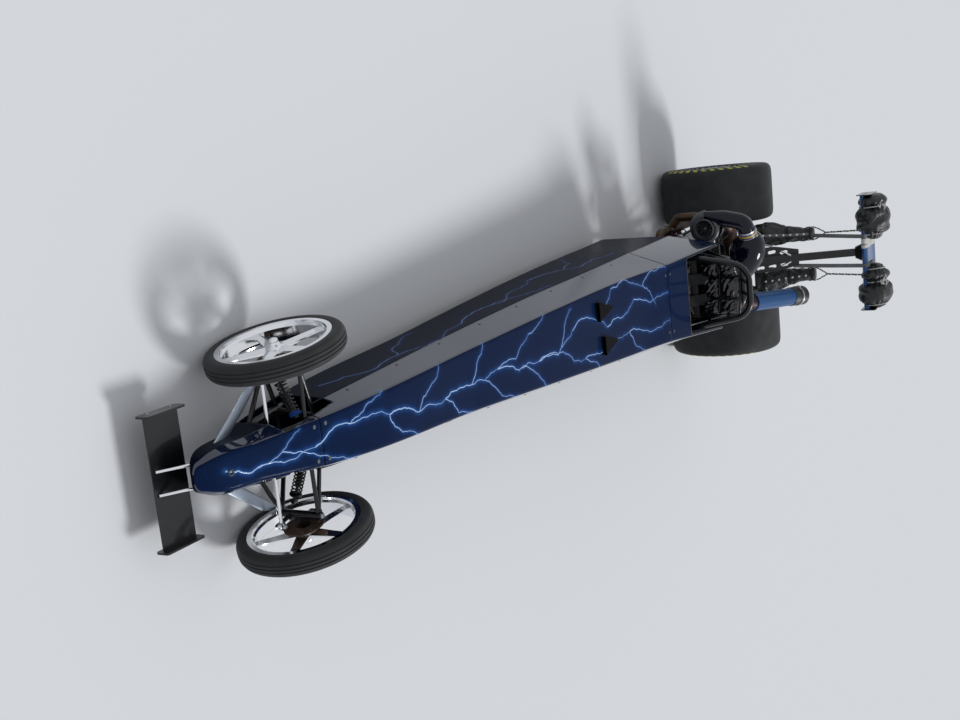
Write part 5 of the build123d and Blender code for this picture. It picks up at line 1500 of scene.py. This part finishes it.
class DRAGCAR_OT_cockpit(bpy.types.Operator):
    """Blue inner sides, edge trim, seat pads, harness and hand grips of the open cockpit"""
    bl_idname = "dragcar.cockpit"
    bl_label = "Cockpit"

    def execute(self, context):
        self.inner_sides()
        self.seat()
        self.harness()
        self.head_pads()
        self.grips()
        return {"FINISHED"}

    def inner_sides(self):
        """Painted inner skins behind the crest, their blue lightened as painted sky light, and a rubber edge
        round the opening.
        """
        distances = np.linspace(CREST + 0.004, COWL_END - 0.004, 60)
        raked = raked_edge((BODY[-1, DECK + 1] + BODY[-1, CREASE + 1]) / 2)
        share = np.linspace(0.02, 0.97, 24)[None, :]
        grids = []
        for _, side in SIDES:
            low, high = corner(CREASE, distances, side), corner(DECK, distances, side)
            x = low[:, :1] + (high[:, :1] - low[:, :1]) * share - side * 0.009
            z = low[:, 1:] + (high[:, 1:] - low[:, 1:]) * share
            grids.append(np.stack([x, drawn_back(distances[:, None], raked_edge(z)), z], -1))
        attach(patches("cockpit_inner_skins", grids, "inner_blue", 0.001))
        edge = []
        for distance in np.linspace(COWL_END - 0.006, CREST + 0.03, 14):
            half, height = corner(DECK, distance)
            edge.append((half - 0.011, drawn_back(distance, raked + 0.012), height - 0.007))
        half, height = corner(DECK, CREST)
        edge.append((half - 0.026, aft(CREST + 0.003), height - 0.001))
        bend = smooth_path(edge + [(half * 0.5, aft(CREST + 0.001), height - 0.001)], 90)
        path = np.concatenate([bend, bend[::-1] * (-1, 1, 1)])
        trim("cockpit_edge_rubber", [tube_points(path, 0.0042, 12)], "hose_black")

    def seat(self):
        """A channelled back cushion and a base cushion with piping round their seams."""
        up = unit(SEAT_BACK_HEAD - SEAT_BACK_FOOT)
        out = np.cross(LEFT, up)
        back = (SEAT_BACK_FOOT + SEAT_BACK_HEAD) / 2 + out * 0.006
        base = np.array([0.0, aft(3.532), 0.190])
        cushions = [("seat_back_cushion", back, up, (0.340, 0.500, 0.050), (0.2, 0.4, 0.6, 0.8)),
                    ("seat_base_cushion", base, BACK, (0.340, 0.250, 0.044), (0.33, 0.67))]
        for name, middle, along, size, channels in cushions:
            cushion = pad(name, middle, LEFT, along, size, channels, "vinyl")
            normal = np.cross(LEFT, unit(along))
            simulate(cushion, 1.2, 0.02, 0.006, lambda p: ((p - middle) @ normal) < 0.004, 12)
            finish_fabric(cushion, "vinyl")
            attach(cushion)
            piping = tube_points(seam_cord(middle, LEFT, along, size), 0.0035, 8)
            trim(f"{name}_piping", [piping], "padding")

    def harness(self):
        """Shoulder, lap and crotch belts that meet in a cam lock, with their adjusters."""
        up = unit(SEAT_BACK_HEAD - SEAT_BACK_FOOT)
        out = np.cross(LEFT, up)
        lock = np.array([0.0, aft(3.640), 0.318])
        belts, frames = [], []
        for _, side in SIDES:
            points, faces = [], []
            for x, rise, lift in ((0.070, 0.640, -0.010), (0.070, 0.585, 0.012), (0.072, 0.500, 0.054),
                                  (0.074, 0.360, 0.060), (0.062, 0.220, 0.062)):
                points.append(SEAT_BACK_FOOT + up * rise + out * lift + (side * x, 0, 0))
                faces.append(out if lift > 0.02 else out + up * 1.5)
            points += [lock + (side * 0.034, 0.030, 0.050), lock + (side * 0.020, 0.006, 0.020)]
            faces += [out + up * 0.3, out + up * 0.4]
            path = smooth_path(points, 70)
            belts.append(strap(path, smooth_path(faces, 70), 0.072, 0.0026))
            for shift in (-0.016, 0.016):
                at = path[40] + up * shift + out * 0.003
                frames.append(round_bar(at - (0.040, 0, 0), at + (0.040, 0, 0), 0.0026, 10))
            lap = [(side * 0.178, aft(3.735), 0.230), (side * 0.150, aft(3.700), 0.262),
                   (side * 0.090, aft(3.655), 0.300), (side * 0.034, aft(3.644), 0.316)]
            normal = [(side * 0.9, -0.3, 0.5), (side * 0.6, -0.5, 0.8), (side * 0.2, -0.6, 0.9),
                      (0, -0.6, 0.9)]
            belts.append(strap(smooth_path(lap, 36), smooth_path(normal, 36), 0.072, 0.0026))
        crotch = [(0, aft(y), z) for y, z in ((3.500, 0.232), (3.545, 0.242), (3.600, 0.270), (3.630, 0.300))]
        belts.append(strap(smooth_path(crotch, 30), np.tile([0, -0.5, 1.0], (30, 1)), 0.045, 0.0026))
        trim("harness_belts", belts, "belt")
        trim("harness_adjusters", frames, "zinc")
        face = unit((0, -0.6, 0.9))
        lock_outline = [(0.034, -0.004), (0.036, 0.004), (0.033, 0.012), (0.020, 0.014), (0.018, 0.019),
                        (0.006, 0.021)]
        trim("harness_lock", [turned(lock_outline, lock, face, 40)], "machined")

    def head_pads(self):
        """Puckered square pads in two rows over the seat's surround, one in the middle, one each side."""
        random = np.random.default_rng(SEED + 30)
        lean = unit((0.102, -0.040, 0.0))
        places = [("middle", np.array([0.0, aft(3.902)]), LEFT, 0.142)]
        for name, side in SIDES:
            across = np.array([lean[0], side * lean[1], 0.0])
            places.append((name, np.array([side * 0.127, aft(3.882)]), across, 0.100))
        for name, middle, across, width in places:
            for row, height in enumerate((0.840, 0.970)):
                out = np.cross(across, UP)
                centre = np.array([*middle, height]) + out * 0.0065
                size = (width, 0.120, 0.030)
                piece = pad(f"head_pad_{name}_{row + 1}", centre, across, UP, size, (), "vinyl")
                points = evaluated_points(piece)
                offset = points - centre
                u, v = offset @ across / (width / 2), offset @ UP / 0.060
                inside = np.clip(1.15 - np.maximum(np.abs(u), np.abs(v)), 0, 1) ** 0.5
                crumple = ripples(u * 3.0, v * 3.0, random, 10, 0.0028) * inside
                points += out * np.where(offset @ out > 0.001, crumple, 0)[:, None]
                piece.data.vertices.foreach_set("co", points.astype(np.float32).ravel())
                simulate(piece, 0.8, 0.05, 0.006, lambda p: ((p - centre) @ out) < 0.002, 12)
                finish_fabric(piece, "vinyl")
                attach(piece)
                piping = tube_points(seam_cord(centre, across, UP, size), 0.003, 8)
                trim(f"head_piping_{name}_{row + 1}", [piping], "vinyl")

    def grips(self):
        """Ribbed rubber grips, a quick-release hub and buttons on the butterfly wheel."""
        column = unit(COLUMN_TOP - COLUMN_FOOT)
        across = LEFT * cos(WHEEL_TURN) + np.cross(column, LEFT) * sin(WHEEL_TURN)
        upright = np.cross(column, across)
        grips, buttons = [], []
        for side in (1, -1):
            way = across * cos(radians(80)) + upright * sin(radians(80))
            middle = COLUMN_TOP + across * 0.095 * side + column * 0.011
            along = np.linspace(-0.054, 0.054, 60)
            radius = 0.0150 + 0.0007 * np.cos(along / 0.054 * 8 * pi)
            radius[[0, -1]], radius[[1, -2]] = 0.010, 0.0140
            grips.append(tube_points(middle + along[:, None] * way, radius, 24))
            end = middle + way * 0.058
            buttons.append(round_bar(end - way * 0.008, end + way * 0.003, 0.0065, 20))
        trim("wheel_grips", grips, "grip_rubber", "steering_wheel")
        trim("wheel_buttons", buttons, "lead_red", "steering_wheel")
        hub = [(0.030, 0.020), (0.030, 0.034), (0.024, 0.036), (0.024, 0.044), (0.018, 0.047), (0.006, 0.047)]
        trim("wheel_hub", [turned(hub, COLUMN_TOP, column, 40)], "fitting_blue",
             "steering_wheel")


def section_at(table, place):
    """Columns of a section table at places, on a smooth run through its rows."""
    t = np.linspace(0, 1, 200)
    dense = smooth_path(table, 200)
    index = np.interp(place, dense[:, 0], t * 199)
    return np.stack([np.interp(index, np.arange(200), dense[:, k]) for k in range(1, table.shape[1])], -1)


def rounded_loop(count, power):
    """Cosine and sine of a superellipse's angle, whose corners are squarer for a smaller power."""
    turn = around(count)
    return squared(np.cos(turn), power), squared(np.sin(turn), power), turn


def ripples(turn, run, random, count, size):
    """Soft lumps over a surface: a seeded sum of waves round it and along it, of one size."""
    total = np.zeros(np.broadcast(turn, run).shape)
    for _ in range(count):
        round_waves, long_waves = random.integers(1, 5), random.uniform(1.0, 4.0)
        total += np.cos(round_waves * turn + long_waves * run + random.uniform(0, 2 * pi))
    return total * size / count ** 0.5


def rope(path, radius, pitch):
    """Two strands laid round each other along a path, as two lists of one tube each."""
    middle, along = even_path(np.asarray(path, float), pitch / 14, 20)
    ring = tube_points(middle, radius * 0.5, 4)
    first, second = ring[:, 0] - middle, ring[:, 1] - middle
    turn = (along / pitch * 2 * pi)[:, None]
    offset = first * np.cos(turn) + second * np.sin(turn)
    return [tube_points(middle + offset, radius * 0.52, 8)], [tube_points(middle - offset, radius * 0.52, 8)]


class DRAGCAR_OT_parachutes(bpy.types.Operator):
    """Parachutes bundled on the wing, their packs below, and the tapes and lines between them"""
    bl_idname = "dragcar.parachutes"
    bl_label = "Parachutes"

    def execute(self, context):
        self.dark, self.pale = [], []
        self.webs, self.bands = [], []
        for name, side in SIDES:
            self.bundle(name, side)
            self.pack(name, side)
            self.rigging(side)
        turns = [self.wound(x, lean) for x, lean in TAPE_TURNS]
        for name, forms, material in (
                ("bridle_dark_strands", self.dark, "belt"), ("bridle_pale_strands", self.pale, "pale_nylon"),
                ("bridle_webbing", self.webs, "webbing"), ("pack_bands", self.bands, "belt"),
                ("wing_tape", turns, "pale_nylon")):
            trim(name, forms, material)
        return {"FINISHED"}

    def wound(self, x, lean):
        """A turn of pale tape drawn tight round the wing, its far side shifted along the wing by lean."""
        loop = np.array(WING_LOOP)
        path = smooth_path([(x + lean * np.sin(k * 0.6), aft(WING_AFT) + y, WING_Z + z)
                            for k, (y, z) in enumerate(loop)], 120)
        ahead = unit(np.gradient(path, axis=0))
        return strap(path, unit(np.cross(ahead, LEFT)), 0.026, 0.0016)

    def bundle(self, name, side):
        """A parachute drawn together by its ties: pleats run out from each tie and fade.

        The radius is the section's, less a bell-shaped waist at each tie, with cosine pleats
        round it that fall off away from the tie, and seeded lumps over the whole.
        """
        random = np.random.default_rng(SEED + side)
        x = np.concatenate([[0.104], np.linspace(0.110, 0.416, 90), [0.421]])
        depth, height = section_at(BUNDLE_SECTIONS, x).T
        cosine, sine, turn = rounded_loop(120, 0.8)
        ties = [tie[1:] for tie in TIES if tie[0] == side]
        scale = np.ones((len(x), len(turn)))
        for place, drawn, wide in ties:
            gap = (x - place)[:, None]
            scale -= drawn * np.exp(-(gap / wide) ** 2)
            pleats = np.cos(19 * turn + random.uniform(0, 6) + 1.5 * np.sin(3 * turn))[None]
            scale += 0.050 * pleats * np.exp(-np.abs(gap) / 0.05)
        scale += ripples(turn[None], x[:, None] * 22, random, 9, 0.045)
        scale *= BUNDLE_FIT
        scale[[0, -1]] *= 0.45
        ys = aft(BUNDLE_AFT) + cosine[None] * depth[:, None] / 2 * scale
        zs = BUNDLE_Z + sine[None] * height[:, None] / 2 * scale
        grid = np.stack([np.broadcast_to(side * x[:, None], ys.shape), ys, zs], -1)
        piece = remesh(many(f"parachute_bundle_{name}", [grid], "ripstop"), 0.006)
        simulate(piece, 1.0, 0.10, 0.016,
                 lambda p: np.min([np.abs(np.abs(p[:, 0]) - place) for place, _, _ in ties], 0) < 0.007)
        finish_fabric(piece, "ripstop")
        attach(piece, node=f"chute_bundle_{name}")
        for place, drawn, _ in ties:
            depth, height = section_at(BUNDLE_SECTIONS, place) / 2 * BUNDLE_FIT * (1 - drawn)
            path = np.stack([np.full(120, side * place) + 0.004 * np.sin(2 * turn),
                             aft(BUNDLE_AFT) + cosine * (depth + 0.003),
                             BUNDLE_Z + sine * (height + 0.003)], -1)
            self.pale.append(tube_points(np.vstack([path, path[:2]]), 0.0042, 8))
        self.knot(side, random)

    def knot(self, side, random):
        """The tie's spare tape, wound into a small knot of loops against the bundle."""
        place = [tie[1] for tie in TIES if tie[0] == side][-2 if side > 0 else -1]
        depth, height = section_at(BUNDLE_SECTIONS, place) / 2 * 0.80
        lean = radians(128)
        middle = np.array([side * place, aft(BUNDLE_AFT) + cos(lean) * depth, BUNDLE_Z + sin(lean) * height])
        out = np.array([0.0, cos(lean), sin(lean)])
        for index in range(3):
            angle = np.linspace(0, 2 * pi, 60)
            size = 0.030 + 0.008 * index
            spin = index * 1.1 + random.uniform(0, 1)
            across = LEFT * cos(spin) + np.cross(out, LEFT) * sin(spin)
            other = np.cross(out, across)
            path = (middle + out * (0.012 + 0.006 * np.sin(2 * angle)[:, None])
                    + across * (size * np.cos(angle))[:, None]
                    + other * (size * 0.45 * np.sin(angle))[:, None])
            self.pale.append(tube_points(path, 0.0036, 8))

    def pack_middle(self, z):
        """Middle of a pack at heights, as y."""
        return aft(CHUTE_BAR) + (z - CHUTE_BAR_Z) * POST_LEAN

    def pack_loop(self, side, z, grow):
        """A closed loop round a pack at a height, grown outwards."""
        x, width, depth = section_at(PACK_SECTIONS, z)
        cosine, sine, _ = rounded_loop(PACK_POINTS, PACK_SQUARE)
        return np.stack([side * x + cosine * (width / 2 * PACK_FIT + grow),
                         self.pack_middle(z) + sine * (depth / 2 * PACK_FIT + grow),
                         np.full(PACK_POINTS, z)], -1)

    def pack(self, name, side):
        """A laced fabric bag round each parachute, with webbing bands and a spine of eyelets."""
        random = np.random.default_rng(SEED + 10 + side)
        levels = np.concatenate([[0.750], np.linspace(0.754, 1.158, 110), [1.163]])
        rows = np.stack([self.pack_loop(side, z, 0.0) for z in levels])
        _, _, turn = rounded_loop(PACK_POINTS, PACK_SQUARE)
        middle = rows.mean(1, keepdims=True)
        waist = sum(0.035 * np.exp(-((levels - band) / 0.012) ** 2) for band in PACK_BANDS)[:, None]
        scale = PACK_FIT + ripples(turn[None], levels[:, None] * 26, random, 8, 0.022) - waist
        scale[[0, -1]] *= 0.88
        grid = middle + (rows - middle) * np.stack([scale, scale, np.ones_like(scale)], -1)
        piece = remesh(many(f"parachute_pack_{name}", [grid], "ripstop"), 0.006)
        simulate(piece, 0.8, 0.08, 0.009,
                 lambda p: np.min([np.abs(p[:, 2] - band) for band in PACK_BANDS], 0) < 0.007)
        finish_fabric(piece, "ripstop")
        attach(piece, node=f"chute_pack_{name}")
        for band in PACK_BANDS:
            path = self.pack_loop(side, band, -0.0035)
            normals = path - path.mean(0)
            path, normals = np.vstack([path, path[:2]]), np.vstack([normals, normals[:2]])
            self.bands.append(strap(path, normals, 0.024, 0.0022))
        front = []
        for z in np.linspace(PACK_BANDS[0], PACK_BANDS[-1], 30):
            x, _, depth = section_at(PACK_SECTIONS, z)
            front.append((side * x, self.pack_middle(z) - depth / 2 * PACK_FIT - 0.006, z))
        spine = self.webs if side < 0 else self.bands
        spine.append(strap(front, np.tile([0, -1.0, 0.3], (30, 1)), 0.020, 0.0022))
        ring = [(0.004, 0.0), (0.0075, 0.001), (0.0085, 0.0025), (0.0065, 0.0035), (0.0045, 0.003)]
        eyelets = [turned(ring, np.array(place) + (0, -0.001, 0), (0, -1.0, 0.3), 20)
                   for place in front[2::4]]
        trim(f"pack_eyelets_{name}", eyelets, "zinc")

    def rigging(self, side):
        """The twisted bridle that forks over its pack, and the flat tape from the wing."""
        top_y = self.pack_middle(1.160)
        fork = np.array([side * 0.162, top_y - 0.030, 1.262])
        start = (side * 0.170, aft(5.500), 1.530)
        dark, pale = rope([start, fork], 0.0075, 0.052)
        self.dark += dark
        self.pale += pale
        for x in (0.112, 0.206):
            leg = smooth_path([fork, fork + (side * (x - 0.162) * 0.5, 0.008, -0.040),
                               (side * x, top_y - 0.022, 1.176), (side * x, top_y - 0.048, 1.128)], 40)
            dark, pale = rope(leg, 0.006, 0.040)
            self.dark += dark
            self.pale += pale
        if side < 0:
            x, foot = 0.128, [(-0.132, aft(5.478), 1.440), (-0.146, top_y - 0.048, 1.150)]
        else:
            x = 0.094
            foot = [(0.084, aft(5.438), 1.330), (0.070, aft(5.411), 1.105), (0.066, aft(5.387), 1.045)]
        route = [(side * x, aft(5.720), 1.592), (side * x, aft(5.655), 1.590), (side * x, aft(5.560), 1.592),
                 (side * x, aft(5.472), 1.585), (side * x, aft(5.442), 1.567), (side * x, aft(5.452), 1.540)]
        route += foot
        facing = [(0, 0.1, 1.0), (0, 0, 1.0), (0, -0.1, 1.0), (0, -0.5, 1.0), (0, -1.0, 0.1), (0, -1.0, -0.2)]
        facing += [(0, -1.0, -0.2)] * len(foot)
        self.webs.append(strap(smooth_path(route, 90), smooth_path(facing, 90), 0.030, 0.0022))


class DRAGCAR_OT_front_end(bpy.types.Operator):
    """Joints, bolts and adjusters of the front suspension, and the wing fixings"""
    bl_idname = "dragcar.front_end"
    bl_label = "Front end"

    def execute(self, context):
        for name, side in SIDES:
            self.corner(name, side)
            self.blade(name, side)
        self.wing_bolts()
        return {"FINISHED"}

    def corner(self, name, side):
        """Ball joint nuts, tie rod nut, caliper bolts and the spring's adjusting rings."""
        pin = np.array([side * KINGPIN_X, aft(0), 0.0])
        nuts = studs([pin + UP * 0.390, pin + UP * 0.175], [UP, -UP], 0.0105, 0.010)
        trim(f"joint_nuts_{name}", nuts, "zinc")
        arm = np.array([sin(STEERED), -cos(STEERED), 0.0])
        tip = pin + arm * 0.100 + UP * 0.274
        knuckle = f"knuckle_{name}"
        trim(f"tie_rod_nut_{name}", studs([tip], UP, 0.0095, 0.009), "zinc", body=knuckle)
        centre, axle = wheel_place("front", side)
        grip = centre - axle * 0.033 - arm * 0.073
        bolts = [grip - axle * 0.019 + UP * shift for shift in (-0.021, 0.021)]
        trim(f"caliper_bolts_{name}", studs(bolts, -axle, 0.006, 0.006), "zinc", body=knuckle)
        top = np.array([side * 0.092, aft(0.040), 0.300])
        run = np.array([side * 0.262, aft(0.044), 0.226]) - top
        along = unit(run)
        ring = [(0.015, -0.004), (0.0235, -0.004), (0.0245, -0.002), (0.0245, 0.002), (0.0235, 0.004),
                (0.015, 0.004)]
        rings = [turned(ring, top + run * 0.16 - along * back, along, 18) for back in (0.0075, 0.0170)]
        trim(f"spring_rings_{name}", rings, "fitting_blue")

    def blade(self, name, side):
        """A brushed blade swept from the nose to the lower joint: a lens in section, tapering outwards.

        Its half thickness is the height times the square root of 4 t (1 - t) across its chord.
        """
        share = np.linspace(0, 1, 30)[:, None, None]
        inner = np.array([(side * 0.071, aft(-0.385), 0.206), (side * 0.091, aft(-0.265), 0.201)])
        outer = np.array([(side * 0.262, aft(-0.112), 0.199), (side * 0.268, aft(-0.022), 0.194)])
        edges = inner[None] + (outer - inner)[None] * share
        chord = (1 - np.cos(around(40))) / 2
        rise = np.sqrt(np.maximum(0, 4 * chord * (1 - chord))) * np.where(np.arange(40) < 20, 1, -1)
        ends = np.sqrt(np.clip((1 - share) / 0.06, 0.02, 1))
        middle = edges.mean(1, keepdims=True)
        grid = edges[:, :1] + (edges[:, 1:] - edges[:, :1]) * chord[None, :, None]
        grid = middle + (grid - middle) * ends
        grid[..., 2] += rise[None] * (0.0050 - 0.0018 * share[..., 0]) * ends[..., 0]
        # The blade's brushed aluminium is tinted blue as painted sky reflection
        trim(f"arm_blade_{name}", [grid], "satin_metal")

    def wing_bolts(self):
        """Bolts through the end plates of the rear wing and the front wing."""
        places, ways = [], []
        for _, side in SIDES:
            for shift in (-0.085, 0.0, 0.075):
                places.append((side * 0.438, aft(WING_AFT + shift), WING_Z - 0.010))
                ways.append((side, 0, 0))
            for shift in (-0.060, 0.060):
                places.append((side * 0.260, aft(-0.516 + shift), 0.1185))
                ways.append((side, 0, 0))
        trim("end_plate_bolts", studs(places, ways, 0.006, 0.0035, 6), "zinc")


class DRAGCAR_PT_panel(bpy.types.Panel):
    """The car's pieces, in the order they are made"""
    bl_idname = "DRAGCAR_PT_panel"
    bl_label = "Drag car"
    bl_space_type = "VIEW_3D"
    bl_region_type = "UI"
    bl_category = "Drag car"

    def draw(self, context):
        for prop in ("body_colour", "wing_colour", "deck_rows", "tyre_steps", "floor_size"):
            self.layout.prop(context.scene.drag_car, prop)
        for step in STEPS:
            self.layout.operator(step.bl_idname)


STEPS = (DRAGCAR_OT_stage, DRAGCAR_OT_frame_finish, DRAGCAR_OT_body, DRAGCAR_OT_tyres, DRAGCAR_OT_wheels,
         DRAGCAR_OT_engine, DRAGCAR_OT_cockpit, DRAGCAR_OT_parachutes, DRAGCAR_OT_front_end)
CLASSES = (CarSizes,) + STEPS + (DRAGCAR_PT_panel,)


def register():
    for item in CLASSES:
        bpy.utils.register_class(item)
    bpy.types.Scene.drag_car = PointerProperty(type=CarSizes)


def unregister():
    del bpy.types.Scene.drag_car
    for item in reversed(CLASSES):
        bpy.utils.unregister_class(item)


def main():
    """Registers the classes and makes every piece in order."""
    register()
    make_materials(bpy.context.scene.drag_car)
    for step in STEPS:
        group, name = step.bl_idname.split(".")
        getattr(getattr(bpy.ops, group), name)()


if __name__ == "__main__":
    main()
